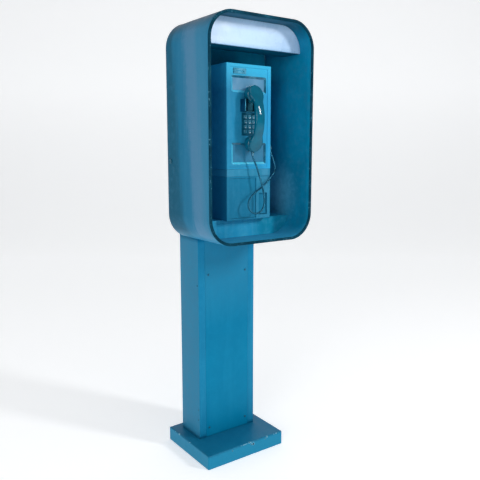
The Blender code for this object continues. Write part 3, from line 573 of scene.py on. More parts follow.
# each finish: its slot, its kind, the kind's tones and the kind's settings
FINISH_ROWS = {
    # its sides tone is a painted sheen on the faces turned to +-X
    "column enamel": ("teal_paint", paint, (TEAL, TEAL_DEEP, TEAL_FADED), {"sides": (0.035, 0.230, 0.390)}),
    "cover enamel": (
        "teal_paint", paint, ((0.0, 0.225, 0.415), (0.0, 0.195, 0.370), (0.008, 0.265, 0.465)),
        {"streaks": 0.4, "fade": COVER_TOP_SHADE},
    ),
    # painted light and shade: sheen bands outside, brighter inside tones that stand in for light, shade
    # towards the top, and light low on the right wall
    "hood enamel": (
        "teal_paint", paint, ((0.016, 0.205, 0.36), (0.008, 0.16, 0.29), (0.06, 0.25, 0.40)),
        {"ramp": HOOD_SHEEN_BANDS, "inside": ((0.002, 0.19, 0.34), (0.003, 0.27, 0.47)), "painted_light": HOOD_TOP_SHADE,
         "light_patch": HOOD_WALL_LIGHT, "fade": HOOD_FOOT},
    ),
    # painted light: a brightened copy of the teal for the hood's back panel and the mounting box, standing in
    # for light the hood's inside lacks; PANEL_REAR gives the panel's outer back face a plainer, darker tone
    "brightened inner enamel": (
        "dark_teal_paint", paint, ((0.003, 0.340, 0.560), (0.002, 0.260, 0.440), (0.02, 0.40, 0.60)),
        {"streaks": 0.3, "fade": PANEL_REAR},
    ),
    # painted shade: a near-black teal for the light box's underside and back, and for the keypad's well in
    # the handset's shadow
    "shade-dark enamel": (
        "dark_teal_paint", paint, ((0.002, 0.100, 0.175), (0.001, 0.070, 0.130), (0.01, 0.15, 0.24)),
        {"streaks": 0.3},
    ),
    # its sides tone is a painted sheen on the faces turned to +-X, and PLINTH_SIDE_LIGHT paints its sides
    # paler than its top
    "plinth enamel": (
        "teal_paint", paint, ((0.006, 0.185, 0.335), (0.004, 0.145, 0.275), (0.02, 0.24, 0.40)),
        {"gloss": 0.12, "sides": (0.018, 0.235, 0.400), "streaks": 0.25, "fade": PLINTH_SIDE_LIGHT},
    ),
    # painted light: a brightened copy of the teal for the lit shelf, with painted shadow towards its right;
    # the flecks are worn paint
    "lit shelf enamel": (
        "teal_paint", paint, ((0.035, 0.44, 0.72), (0.018, 0.35, 0.60), (0.12, 0.58, 0.82)),
        {"flecks": 1.0, "painted_light": SHELF_SHADOW},
    ),
    "telephone enamel": (
        "phone_blue", paint, ((0.012, 0.205, 0.365), (0.008, 0.165, 0.30), (0.04, 0.26, 0.44)),
        {"streaks": 0.35},
    ),
    "pale enamel": (
        "phone_blue", paint, ((0.030, 0.265, 0.440), (0.020, 0.215, 0.375), (0.08, 0.34, 0.53)),
        {"streaks": 0.6},
    ),
    # painted light: a brighter copy of the telephone enamel for the lit upper housing and faceplate, paler
    # still to the right and at the top
    "lit telephone enamel": (
        "phone_blue", paint, ((0.022, 0.28, 0.50), (0.016, 0.23, 0.42), (0.07, 0.38, 0.62)),
        {"streaks": 0.3, "fade": PHONE_LIT_SIDE, "rough": (0.25, 0.4), "painted_light": PHONE_LIT_TOP},
    ),
    # painted highlight and shade: pale for the beads' lit left and bottom sides, dark on their right and top
    # sides
    "bead highlight and shade enamel": (
        "phone_blue", paint, ((0.06, 0.56, 0.80), (0.05, 0.46, 0.72), (0.16, 0.66, 0.88)),
        {"rough": (0.12, 0.25), "gloss": 0.4, "streaks": 0.3,
         "inside": ((0.002, 0.085, 0.16), (0.003, 0.12, 0.21))},
    ),
    "trim rubber": ("trim_rubber", rubber, (), {}),
    "opal sheet": ("pale_panel", opal, (), {}),
    "upper card": ("card", card, ((0.11, 0.32, 0.52), (0.07, 0.27, 0.46)), {}),
    "lower card": ("card", card, ((0.05, 0.24, 0.41), (0.02, 0.19, 0.34)), {}),
    "handset plastic": (
        "dark_plastic", moulded, ((0.0, 0.150, 0.240), (0.0, 0.105, 0.175)),
        {"rough": (0.05, 0.12), "gloss": 0.26},
    ),
    "key plastic": ("steel", moulded, ((0.035, 0.25, 0.38), (0.018, 0.18, 0.29)), {"rough": (0.12, 0.25)}),
    # also the dark discs that paint the shade of the handset's sound holes
    "key print and hole shade": ("dark_plastic", moulded, ((0.01, 0.05, 0.08), (0.005, 0.03, 0.05)), {"rough": (0.4, 0.5)}),
    "hook metal": ("steel", metal, ((0.04, 0.20, 0.29), (0.012, 0.09, 0.14)), {"rough": (0.12, 0.25)}),
    "plain steel": ("steel", metal, ((0.12, 0.30, 0.40), (0.04, 0.15, 0.22)), {}),
    "armour": (
        "steel", metal, ((0.035, 0.18, 0.28), (0.012, 0.09, 0.15)),
        {"rough": (0.2, 0.4), "brushed": (1, 1, 1)},
    ),
    "dull steel": ("steel", metal, ((0.06, 0.22, 0.32), (0.02, 0.11, 0.17)), {"rough": (0.35, 0.55)}),
}
FINISHES = {
    name: (kind(name, *tones, **settings), slot)
    for name, (slot, kind, tones, settings) in FINISH_ROWS.items()
}


COATS = {
    "column enamel": ("column_top_plate", "rear_upright", "upright_cap"),
    "brightened inner enamel": ("hood_back_panel", "phone_mounting_box"),
    "shade-dark enamel": ("light_box_soffit", "light_box_back", "keypad_bezel"),
    "lit shelf enamel": ("shelf_front_panel", "shelf_top"),
    "telephone enamel": ("lower_housing",),
    "pale enamel": ("belt_strip", "coin_return_bezel"),
    "lit telephone enamel": ("upper_housing", "faceplate"),
    "upper card": ("upper_card",),
    "lower card": ("lower_card",),
    "dull steel": ("coin_entry_plate",),
}


def coat_nodes():
    """Gives the carried-over nodes their finishes through their objects' material slots."""
    for finish, nodes in COATS.items():
        for place in (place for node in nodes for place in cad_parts[node].material_slots):
            place.link = "OBJECT"
            place.material = FINISHES[finish][0]


# ---------------------------------------------------------------- handset cord

GLAND_LOW, GLAND_HIGH = span("cord_gland")
FERRULE_LOW, FERRULE_HIGH = span("handset_ferrule")
CORD_DIAMETER = 0.006
ARMOUR_PITCH = 0.0026
RIDGE = 0.06  # height of the armour's ridges as a share of the radius
STEPS_A_TURN = 6
# points of the route: to the right of the middle, out from the telephone's face, up from its foot
ROUTE = (
    (0.106, -0.014, 0.240), (0.109, -0.013, 0.228), (0.114, -0.011, 0.214),
    (0.118, -0.007, 0.198), (0.117, -0.002, 0.181), (0.109, 0.003, 0.165),
    (0.091, 0.008, 0.148), (0.066, 0.012, 0.128), (0.041, 0.016, 0.112),
    (0.016, 0.020, 0.099), (-0.004, 0.023, 0.086), (-0.017, 0.026, 0.074),
    (-0.024, 0.029, 0.057), (-0.021, 0.031, 0.040), (-0.009, 0.033, 0.028),
    (0.008, 0.034, 0.024), (0.025, 0.035, 0.030), (0.037, 0.036, 0.046),
    (0.041, 0.035, 0.068), (0.038, 0.034, 0.098), (0.030, 0.032, 0.130),
    (0.020, 0.029, 0.163), (0.010, 0.025, 0.195), (0.003, 0.021, 0.213),
)


def smooth_route(points, step):
    """Points a step apart on the centripetal Catmull-Rom curve through the given ones: each span blends
    its four nearest points by knots spaced as the square root of their distances."""
    p = np.asarray(points, float)
    p = np.vstack([2 * p[0] - p[1], p, 2 * p[-1] - p[-2]])
    a, b, c, d = (q[:, None, :] for q in (p[:-3], p[1:-2], p[2:-1], p[3:]))
    knots = [np.zeros((len(a), 1, 1))]
    for u, v in ((a, b), (b, c), (c, d)):
        knots.append(knots[-1] + np.sqrt(np.linalg.norm(v - u, axis=-1, keepdims=True)))
    k0, k1, k2, k3 = knots
    t = k1 + (k2 - k1) * np.linspace(0, 1, 40, endpoint=False)[None, :, None]

    def between(lo, hi, first, second):
        return (hi - t) / (hi - lo) * first + (t - lo) / (hi - lo) * second

    a1, a2, a3 = between(k0, k1, a, b), between(k1, k2, b, c), between(k2, k3, c, d)
    b1, b2 = between(k0, k2, a1, a2), between(k1, k3, a2, a3)
    fine = np.vstack([between(k1, k2, b1, b2).reshape(-1, 3), p[-2]])
    along = np.concatenate([[0], np.cumsum(np.linalg.norm(np.diff(fine, axis=0), axis=1))])
    at = np.linspace(0, along[-1], round(along[-1] / step) + 1)
    return np.stack([np.interp(at, along, fine[:, k]) for k in range(3)], 1), along[-1]


def armoured_tube(path, around=12):
    """A section carried along a path: a circle square to the path, whose radius is swollen by
    ridge x wave^0.7, with wave = cos(2 pi distance / pitch - turn), which winds a groove along it."""
    ahead = np.gradient(path, axis=0)
    ahead /= np.linalg.norm(ahead, axis=1, keepdims=True)
    side = np.cross(ahead, (0.0, 1.0, 0.0))
    side /= np.linalg.norm(side, axis=1, keepdims=True)
    other = np.cross(ahead, side)
    along = np.concatenate([[0], np.cumsum(np.linalg.norm(np.diff(path, axis=0), axis=1))])
    turn = np.linspace(0, 2 * math.pi, around, endpoint=False)
    wave = np.cos(2 * math.pi * along[:, None] / ARMOUR_PITCH - turn[None, :])
    swell = CORD_DIAMETER / 2 * (1 + RIDGE * signed_power(wave, 0.7))
    ring = np.cos(turn)[None, :, None] * side[:, None, :] + np.sin(turn)[None, :, None] * other[:, None, :]
    return path[:, None, :] + swell[..., None] * ring


def make_cord():
    """The armoured lead from the elbow's underside to the handset's sleeve."""
    start = np.array([*((GLAND_LOW + GLAND_HIGH) / 2)[:2], GLAND_LOW[2] - GAP])
    end = np.array([0.0, (FERRULE_LOW[1] + FERRULE_HIGH[1]) / 2, FERRULE_LOW[2] - GAP])
    middle = [(x, FACE_Y - out, PHONE_Z + up) for x, out, up in ROUTE]
    path, length = smooth_route([start, *middle, end], ARMOUR_PITCH / STEPS_A_TURN)
    cord = stack("handset_lead", armoured_tube(path), "armour", None)
    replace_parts(cord, "handset_cord")
    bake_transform(cord)


# ---------------------------------------------------------------- plinth and column

COLUMN_LO, COLUMN_HI = span("column_body")
COVER_LO, COVER_HI = span("column_front_cover")


CHIP_SIZES = (0.0015, 0.0045)
CHIP_DEPTH = 0.0010
CHIP_SINK = 0.0006  # how far a chip lowers the top's edge
# dents in the front edge: to the right of the middle, down from the top, size
NOTCHES = ((0.031, 0.012, 0.006), (0.022, 0.010, 0.004), (-0.066, 0.010, 0.003), (0.090, 0.007, 0.003))
PLINTH_ROLL = 0.004
PLINTH_R = 0.005


def chips(rings, edge_y, edge_z, count, seed):
    """How bare each point is, from 0 to 1: the nearest of some seeded chips on an edge, falling off with
    distance, and more slowly along the edge, so that a chip is longer than it is high."""
    draw = np.random.default_rng(seed)
    low, high = rings[..., 0].min(), rings[..., 0].max()
    x = draw.uniform(low * 0.95, high * 0.95, count)
    size = draw.uniform(*CHIP_SIZES, count) * (1 + (draw.uniform(size=count) > 0.85))
    off_edge = np.abs(rings[..., 1] - edge_y) + np.abs(rings[..., 2] - edge_z)
    away = np.abs(rings[..., 0][..., None] - x) / (1.5 * size) + off_edge[..., None] / size
    return np.clip(1.25 - away.min(-1), 0, 1)


def make_plinth():
    """The block's rounded outline carried up its sides and over a rolled top edge, then shrunk to the
    middle of the top; chips along the top's edges are pressed in by up to a millimetre."""
    low, high = PLINTH_LO, PLINTH_HI
    middle, half = (low + high) / 2, (high - low) / 2
    roll_z = high[2] - PLINTH_ROLL
    sides = [(-0.0012, 0.0), (0.0, 0.0012)] + [(0.0, z) for z in np.linspace(0.006, roll_z, 18)]
    profile = sides + [(p[0] - PLINTH_ROLL, roll_z + p[1]) for p in quarter(PLINTH_ROLL, 0, 90, 7)[1:]]
    rings = carried(*rounded_track(half[0], half[1], PLINTH_R, 8, 150), profile, "xy", PLINTH_R)
    top = rings[-1][None] * np.array([0.985, 0.96, 0.9, 0.7, 0.4, 0.1])[:, None, None]
    top[..., 2] = high[2]
    rings = np.vstack([rings, top])
    rings[..., 1] += middle[1]
    swapped = rings[..., [1, 0, 2]]
    bare = np.maximum.reduce([
        chips(rings, low[1], high[2], 26, 4),
        chips(rings, high[1], high[2], 16, 9),
        chips(swapped, low[0], high[2], 12, 14),
        chips(swapped, high[0], high[2], 12, 19),
        0.8 * chips(rings, low[1], 0.0, 18, 24),
    ])
    for x, down, size in NOTCHES:
        away = np.linalg.norm(rings - (x, low[1], high[2] - down), axis=-1)
        bare = np.maximum(bare, np.clip(1.6 - away / size, 0, 1))
    # pale along the rolled top edge: worn paint, and a painted highlight on the roll
    rolled = np.exp(-(((rings[..., 2] - high[2] + PLINTH_ROLL * 0.6) / 0.0022) ** 2))
    edge_wear_and_highlight = 0.74 * rolled * np.clip(noise(rings, 40.0, 31) * 1.6 - 0.3, 0, 1)
    inward = rings * (1, 1, 0) - (0, middle[1], 0)
    inward /= np.maximum(np.linalg.norm(inward, axis=-1, keepdims=True), 1e-6)
    rings -= inward * (CHIP_DEPTH * bare[..., None])
    rings[..., 2] -= CHIP_SINK * bare * (rings[..., 2] > half[2])
    made = stack("plinth_block", rings, "plinth enamel", wear=np.maximum(bare, edge_wear_and_highlight))
    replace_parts(made, "base_plinth")


COLUMN_WALL = 0.003
LIP_W = 0.024  # the folded lip that the cover is screwed to
SEAM = 0.0002  # between the cover's side and the fold beside it
OUTER_BEND = 0.0026
INNER_BEND = 0.0009
SIDE_HOLLOW = 0.0006


def make_column():
    """The folded sheet's section, with rounded bends, carried up in close rings; its sides are a shade
    hollow between their ends, by hollow x sin(pi x height share)."""
    low, high = COLUMN_LO, COLUMN_HI
    wall, lip, lip_y = COLUMN_WALL, COVER_HI[0] + SEAM, COVER_HI[1] + GAP
    half = [
        (high[0], high[1]), (high[0], low[1]), (lip, low[1]), (lip, lip_y), (lip - LIP_W, lip_y),
        (lip - LIP_W, lip_y + wall), (lip + wall, lip_y + wall), (lip + wall, low[1] + wall),
        (high[0] - wall, low[1] + wall), (high[0] - wall, high[1] - wall),
    ]
    bends = [OUTER_BEND] * 2 + [INNER_BEND] * (len(half) - 2)
    points, normals = bent_track(half + mirrored(half), bends + bends[::-1], 6)
    share = np.linspace(0, 1, 48)
    heights = low[2] + (high[2] - low[2]) * share
    rings = carried(points, normals, np.stack([0 * share, heights], -1), "xy")
    side = np.abs(rings[..., 0]) > high[0] - wall - 0.0001
    hollow = SIDE_HOLLOW * np.sin(math.pi * share)[:, None] * side
    rings[..., 0] -= np.sign(rings[..., 0]) * hollow
    edge = (np.abs(np.abs(rings[..., 0]) - high[0]) < 0.002) & (rings[..., 1] < low[1] + 0.002)
    wear = edge * np.clip(noise(rings, 95.0, 3) * 1.6 - 0.75, 0, 1) * 0.8
    made = stack("column_shell", rings, "column enamel", ends="flat", wear=wear)
    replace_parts(made, "column_body")


# a screw head's rings: out from the face and across, as shares of its radius, and how hexagonal
SOCKET_HEAD = (
    (-0.25, 1.0, 0.0), (0.12, 1.0, 0.0), (0.42, 0.93, 0.0), (0.62, 0.78, 0.0), (0.72, 0.56, 0.4),
    (0.66, 0.47, 1.0), (0.22, 0.44, 1.0),
)


def screws(name, places, along, radius, steps=24):
    """Domed heads with a six-sided socket. A head is rings of radius share x radius, mixed towards a
    hexagon's 1 / cos(turn from its nearest flat) by each ring's last value."""
    along = np.asarray(along, float)
    side = np.array([0.0, 0.0, 1.0])
    other = np.cross(along, side)
    turn = np.linspace(0, 2 * math.pi, steps, endpoint=False)
    spokes = np.cos(turn)[:, None] * side + np.sin(turn)[:, None] * other
    flat = 1 / np.cos((turn % (math.pi / 3)) - math.pi / 6)
    out, share, hexed = np.array(SOCKET_HEAD).T[:, :, None]
    reach = radius * share * (1 - hexed + hexed * flat[None, :])
    head = (out * radius)[..., None] * along + reach[..., None] * spokes
    one = with_middles(head)
    shift = (np.arange(len(places)) * len(one))[:, None, None]
    points = (np.asarray(places, float)[:, None, :] + one[None]).reshape(-1, 3)
    quads = (ring_faces(*head.shape[:2])[None] + shift).reshape(-1, 4)
    ends = (np.concatenate(fans(head, one))[None] + shift).reshape(-1, 3)
    mesh_piece(name, points, [quads, ends], "dull steel")


COVER_SCREW_R = 0.0040
COVER_SCREW_X = 0.0845
COVER_SCREW_Z = (0.089, 0.693)
SIDE_RIVET_R = 0.0032
SIDE_RIVET_BACK = 0.008  # behind the column's front
SIDE_RIVET_Z = (0.128, 0.168, 0.655)
BOLT_X = 0.095
BOLT_INSET = 0.05  # from the upright's ends
BOLT_R = 0.001452
SUNK = 0.0008  # how far a head's foot goes into its face


def make_column_screws():
    """The cover's four screws, three rivets up each side, and the bolts up the rear upright."""
    sides = ((-1, "left"), (1, "right"))
    at = [(s * COVER_SCREW_X, COVER_LO[1], z) for s, _ in sides for z in COVER_SCREW_Z]
    screws("cover_screws", at, (0, -1, 0), COVER_SCREW_R)
    for s, name in sides:
        at = [(s * (COLUMN_HI[0] - SUNK), COLUMN_LO[1] + SIDE_RIVET_BACK, z) for z in SIDE_RIVET_Z]
        screws(f"{name}_side_rivets", at, (s, 0, 0), SIDE_RIVET_R)
    foot, top = span("rear_upright")[0][2], span("upright_cap")[0][2]
    heights = (foot + BOLT_INSET, (foot + top) / 2, top - BOLT_INSET)
    at = [(s * BOLT_X, COLUMN_HI[1] - SUNK, z) for s, _ in sides for z in heights]
    screws("upright_bolts", at, (0, 1, 0), BOLT_R)


# ---------------------------------------------------------------- hood

HOOD_R = 0.093
HOOD_WALL = 0.008
HOOD_EDGE = 0.001
DENT = 0.0016
RIM_W = 0.0100
RIVET_R = 0.0030
RIVET_INSET = 0.018


def round_hood(profile, corner=30, side=26):
    """A profile of (growth, depth) carried round the hood's outline."""
    half_z = (HOOD_HI[2] - HOOD_LO[2]) / 2
    track = rounded_track(HOOD_HI[0], half_z, HOOD_R, corner, side)
    return carried(*track, profile, "xz", HOOD_R) + (0.0, 0.0, HOOD_LO[2] + half_z), track[1]


def make_hood():
    """The hood's wall: a closed section with small bevelled edges carried round the rounded outline. Its
    outer face is dented inwards by depth x a smooth noise cubed."""
    front, back, edge, wall = HOOD_HI[1] + GAP, HOOD_BACK, HOOD_EDGE, HOOD_WALL
    outer = [(0.0, y) for y in np.linspace(front + edge, back - edge, 26)]
    inner = [(-wall, y) for y in np.linspace(back - edge, front + edge, 14)]
    ends = [(-edge, front)], [(-edge, back), (edge - wall, back)], [(edge - wall, front)]
    profile = np.array([*ends[0], *outer, *ends[1], *inner, *ends[2]])
    rings, normals = round_hood(profile)
    outside = np.zeros((len(profile), 1))
    outside[2:len(outer)] = 1
    dents = DENT * noise(rings, 14.0, 7) ** 3 * outside
    rings[..., [0, 2]] -= normals[None] * dents[..., None]
    near_back = np.exp(-(((profile[:, 1:] - back) / 0.004) ** 2))
    wear = near_back * np.clip(noise(rings, 70.0, 12) * 1.7 - 0.8, 0, 1)
    made = stack("hood_skin", rings, "hood enamel", ends="loop", wear=wear)
    # the inner faces take the brighter inside tones: painted light
    mark_inside(made, np.broadcast_to(profile[:, :1] < -wall / 2, rings.shape[:2]))
    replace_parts(made, "hood_shell")


def make_rim():
    """The rubber edging: a squashed ring, (a |cos|^0.6, b |sin|^0.6), carried round the hood's front."""
    turn = np.linspace(0, 2 * math.pi, 20, endpoint=False)
    across = RIM_W / 2 * (signed_power(np.cos(turn), 0.6) - 1)
    deep = (HOOD_LO[1] + HOOD_HI[1]) / 2 + (HOOD_HI[1] - HOOD_LO[1]) / 2 * signed_power(np.sin(turn), 0.6)
    made = stack("rim_edging", round_hood(np.stack([across, deep], -1))[0], "trim rubber", ends="loop")
    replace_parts(made, "hood_rim_trim")


def make_back_rivets():
    """Low rivets round the back panel, an even step apart along its outline shrunk to the rivet line."""
    places = round_hood([(-RIVET_INSET, HOOD_BACK)], corner=3, side=4)[0][0]
    screws("panel_rivets", places, (0, 1, 0), RIVET_R)


def make_header():
    """The opal sheet: two wide top corners and two small ones, with a rolled front edge."""
    low, high = span("sign_panel")
    corners = np.array([(high[0], low[2]), (high[0], high[2]), (low[0], high[2]), (low[0], low[2])])
    wide, small = HOOD_R - HOOD_WALL - GAP, 0.002
    middle = np.array([0.0, (low[2] + high[2]) / 2])
    track = bent_track(corners - middle, (small, wide, wide, small), 18)
    rings = plate_rings(track, 0.0, low[1], high[1], 0.0012) + (0.0, 0.0, middle[1])
    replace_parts(stack("header_sheet", rings, "opal sheet"), "sign_panel")


# a side bolt's section: out from the hood as shares of its height, and across as shares of its radius
SIDE_BOLT = ((0.45, 1.0), (0.9, 0.88), (0.95, 0.8), (0.9, 0.42), (0.3, 0.34))
HOOD_SCREW_R = 0.0034
HOOD_SCREW_AHEAD, HOOD_SCREW_BELOW, HOOD_SCREW_SUNK = 0.024, 0.021, 0.0012


def make_locks():
    """Side bolts: a chamfered disc with a countersunk middle, and a small screw beside it."""
    for side, name in ((-1, "left"), (1, "right")):
        low, high = span(f"side_lock_{name}")
        at = (side * HOOD_HI[0], (low[1] + high[1]) / 2, (low[2] + high[2]) / 2)
        proud, radius = high[0] - low[0], (high[2] - low[2]) / 2
        profile = [(-0.001, radius)] + [(out * proud, share * radius) for out, share in SIDE_BOLT]
        made = turned(f"{name}_side_bolt", profile, at, (side, 0, 0), "dull steel")
        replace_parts(made, f"side_lock_{name}")
        small = (side * (HOOD_HI[0] - HOOD_SCREW_SUNK), at[1] - HOOD_SCREW_AHEAD, at[2] - HOOD_SCREW_BELOW)
        screws(f"{name}_hood_screw", [small], (side, 0, 0), HOOD_SCREW_R)


# ---------------------------------------------------------------- telephone

# a window bead's section: out from its card, and behind the faceplate's front
BEAD = (
    (0.0070, 0.0), (0.0070, -0.0004), (0.0064, -0.0007), (0.0056, -0.0004), (0.0010, 0.0032),
    (0.0, 0.0034), (0.0, 0.0039),
)
BEAD_R = 0.0003


def make_beads():
    """Polished beads that line the two windows' sloping sides: a section carried round each card, pale as a
    painted highlight, with painted shade on its right and top sides.
    """
    for node in ("upper_card", "lower_card"):
        low, high = span(node)
        middle, half = (low + high) / 2, (high - low) / 2
        track = rounded_track(half[0], half[2], BEAD_R, 6, 8)
        profile = [(grow, PLATE_Y + behind) for grow, behind in BEAD]
        rings = carried(*track, profile, "xz", BEAD_R) + (0.0, 0.0, middle[2])
        made = stack(f"{node}_bead", rings, "bead highlight and shade enamel", ends="loop")
        # the right and top sides take the dark tones: painted shade
        mark_inside(made, np.broadcast_to((track[1] > 0.5).any(1), rings.shape[:2]))


FLAP_LIP = 0.0022
FLAP_EDGE = 0.0004


def make_flap():
    """The return flap: its rounded section, with a finger lip rolled forward at its foot, carried across.
    The sheet's line is depth = lip x share^6 from the hinge down to its foot."""
    low, high = span("coin_return_flap")
    share = np.linspace(0, 1, 24)
    z = high[2] - 0.001 - (high[2] - low[2] - 0.001) * share
    middle, thick = (low[1] + high[1]) / 2, (high[1] - low[1]) / 2
    line = middle - FLAP_LIP * share**6
    front = np.stack([line - thick, z], -1)
    back = np.stack([line + thick, z], -1)[::-1]
    curl = np.array([line[0], z[0]]) + quarter(thick, 0, 180, 7)[1:-1]
    outline = np.vstack([front, back, curl])
    x = np.array([low[0], low[0] + FLAP_EDGE, high[0] - FLAP_EDGE, high[0]])
    inset = np.array([FLAP_EDGE, 0.0, 0.0, FLAP_EDGE])
    out = outline - outline.mean(0)
    out /= np.linalg.norm(out, axis=1, keepdims=True)
    flat = outline[None] - out[None] * inset[:, None, None]
    rings = np.concatenate([np.broadcast_to(x[:, None, None], (len(x), len(outline), 1)), flat], -1)
    made = stack("return_flap_plate", rings, "telephone enamel", "return_flap", ends="flat")
    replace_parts(made, "coin_return_flap")


GLYPHS = {"star": "*", "hash": "#"}


KEY_R = 0.0026
KEY_ROLL = 0.0011
KEY_DISH = 0.0006
DISH_SHARES = np.array([0.15, 0.4, 0.65, 0.85, 0.96])[:, None, None]
PRINT_IN = 0.00045  # the print's middle behind the key's front
PRINT_SIZE = 0.0072
PRINT_HALF = 0.00012


def make_keys():
    """Dished caps: the key's outline carried over a rolled edge and down into a dish of depth
    dish x (1 - share^2), with its generic numeral printed on it."""
    for node in [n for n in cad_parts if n.startswith("key_")]:
        label = node[4:]
        low, high = span(node)
        middle, half = (low + high) / 2, (high - low) / 2
        front = low[1]
        profile = [(p[0] - KEY_ROLL, front + KEY_ROLL - p[1]) for p in quarter(KEY_ROLL, 90, 0, 5)]
        profile += [(0.0, front + 0.004), (-0.0002, high[1])]
        shell = carried(*rounded_track(half[0], half[2], KEY_R, 7, 4), profile, "xz", KEY_R)
        dish = shell[0][None] * DISH_SHARES
        dish[..., 1:2] = front + KEY_DISH * (1 - DISH_SHARES**2)
        rings = np.vstack([dish, shell]) + (middle[0], 0.0, middle[2])
        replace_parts(stack(f"cap_{label}", rings, "key plastic", node), node)
        printed(f"print_{label}", GLYPHS.get(label, label), (middle[0], front + PRINT_IN, middle[2]), node)


def printed(name, text, at, body):
    """A numeral as a thin raised mesh, standing up and facing the front."""
    letter = bpy.data.curves.new(name, "FONT")
    letter.body, letter.size = text, PRINT_SIZE
    letter.align_x, letter.align_y = "CENTER", "CENTER"
    letter.extrude = PRINT_HALF
    letter.resolution_u = 3
    source = bpy.data.objects.new(name + "_source", letter)
    bpy.context.scene.collection.objects.link(source)
    bpy.context.view_layer.update()
    mesh = bpy.data.meshes.new_from_object(source.evaluated_get(bpy.context.evaluated_depsgraph_get()))
    bpy.data.objects.remove(source)
    flat = np.empty(len(mesh.vertices) * 3)
    mesh.vertices.foreach_get("co", flat)
    x, up, out = flat.reshape(-1, 3).T
    placed = np.stack([at[0] + x, at[1] - out, at[2] + up], -1)
    mesh.vertices.foreach_set("co", placed.reshape(-1))
    mesh.update()
    mesh.materials.clear()
    placed_in_scene(name, mesh, "key print and hole shade", body)


PRONG_W = 0.0125
FORK_BASE = 0.006
FORK_EDGE = 0.0016


def make_hook():
    """The fork: a base and two prongs as one rounded outline, carried up with rolled lower and upper
    edges."""
    low, high = span("hook_cradle")
    inner = high[0] - PRONG_W
    half = [(high[0], high[1]), (high[0], low[1]), (inner, low[1]), (inner, high[1] - FORK_BASE)]
    bends = [0.0008, 0.0042, 0.0042, 0.002]
    track = bent_track(half + mirrored(half), bends + bends[::-1], 9)
    ends = (low[2] + FORK_EDGE, high[2] - FORK_EDGE)
    profile = [(p[0] - FORK_EDGE, ends[0] - p[1]) for p in quarter(FORK_EDGE, 90, 0, 5)]
    profile += [(0.0, z) for z in np.linspace(*ends, 10)[1:-1]]
    profile += [(p[0] - FORK_EDGE, ends[1] + p[1]) for p in quarter(FORK_EDGE, 0, 90, 5)]
    made = stack("hook_fork", carried(*track, profile, "xy"), "hook metal", ends="flat")
    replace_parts(made, "hook_cradle")


HANDLE_THICK = 0.0205
HANDLE_HALF = 0.0187
HANDLE_THIN = 0.0012
SQUASH = 0.72  # the power that squares the handle's section
# a cap's section: in from its face, and in from its radius (or, for the dished face, a share of it)
CAP_FACE = ((0.0015, 0.3), (0.0012, 0.6), (0.0004, 0.72))
CAP_EDGE = ((0.0, 0.0055), (0.0006, 0.0030), (0.0024, 0.0010), (0.0050, 0.0))
CAP_GROOVE = ((0.0075, 0.0), (0.0068, 0.0007), (0.0060, 0.0), (0.0, 0.0))  # forward from its foot
SLEEVE_HEAD = ((0.0, 0.9), (0.0006, 1.0), (0.005, 1.0), (0.0056, 0.9), (0.0062, 1.0))


def make_handle():
    """The grip: stations up the handset, each a squashed ring whose half width follows the ear and mouth
    lobes, whose outer line is the arch 0.2 (1 - s^6)^0.5 + 0.8 (1 - s^2)^1.5, and whose inner line is a
    flatter bow."""
    ear_low, ear_high = span("earpiece_cap")
    mouth_low, mouth_high = span("mouthpiece_cap")
    low, high = span("handset_handle")
    inner_y, outer_y = ear_low[1] - GAP, low[1]
    share = -np.cos(math.pi * (np.arange(72) + 0.5) / 72)
    z = (low[2] + high[2]) / 2 + (high[2] - low[2]) / 2 * share
    arch = 0.2 * (1 - share**6) ** 0.5 + 0.8 * (1 - share**2) ** 1.5
    outer = inner_y + (outer_y - inner_y) * arch
    bow = np.maximum(0, 1 - (np.abs(share) / 0.62) ** 4)
    inner = inner_y + (outer_y + HANDLE_THICK - inner_y) * bow
    centre = np.where(share > 0, ear_low[2] + ear_high[2], mouth_low[2] + mouth_high[2]) / 2
    radius = np.where(share > 0, ear_high[2] - ear_low[2], mouth_high[2] - mouth_low[2]) / 2
    lobe = np.sqrt(np.maximum(radius**2 - (z - centre) ** 2, 0.003**2))
    neck = HANDLE_HALF * (1 - np.clip((np.abs(share) - 0.70) / 0.2, 0, 1) ** 2)
    half = ((lobe**6 + neck**6) ** (1 / 6))[:, None]
    depth = np.maximum((inner - outer) / 2, HANDLE_THIN)
    turn = np.linspace(0, 2 * math.pi, 44, endpoint=False)
    x = half * signed_power(np.cos(turn), SQUASH)
    y = (inner - depth)[:, None] - depth[:, None] * signed_power(np.sin(turn), SQUASH)
    rings = np.stack([x, y, np.broadcast_to(z[:, None], x.shape)], -1)
    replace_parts(stack("handset_grip", rings, "handset plastic", "handset"), "handset_handle")


def make_caps():
    """The ear and mouth caps: a dished face, a rounded edge and a groove near the foot, with pores."""
    for name in ("ear", "mouth"):
        low, high = span(f"{name}piece_cap")
        radius, length = (high[2] - low[2]) / 2, high[1] - low[1]
        at = (0.0, high[1], (low[2] + high[2]) / 2)
        profile = [(deep, share * radius) for deep, share in CAP_FACE]
        profile += [(deep, radius - inset) for deep, inset in CAP_EDGE]
        profile += [(length - up, radius - inset) for up, inset in CAP_GROOVE]
        cap = turned(f"{name}_cap", profile, at, (0, -1, 0), "handset plastic", "handset", steps=56)
        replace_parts(cap, f"{name}piece_cap")
        pores(f"{name}_pores", at, radius)


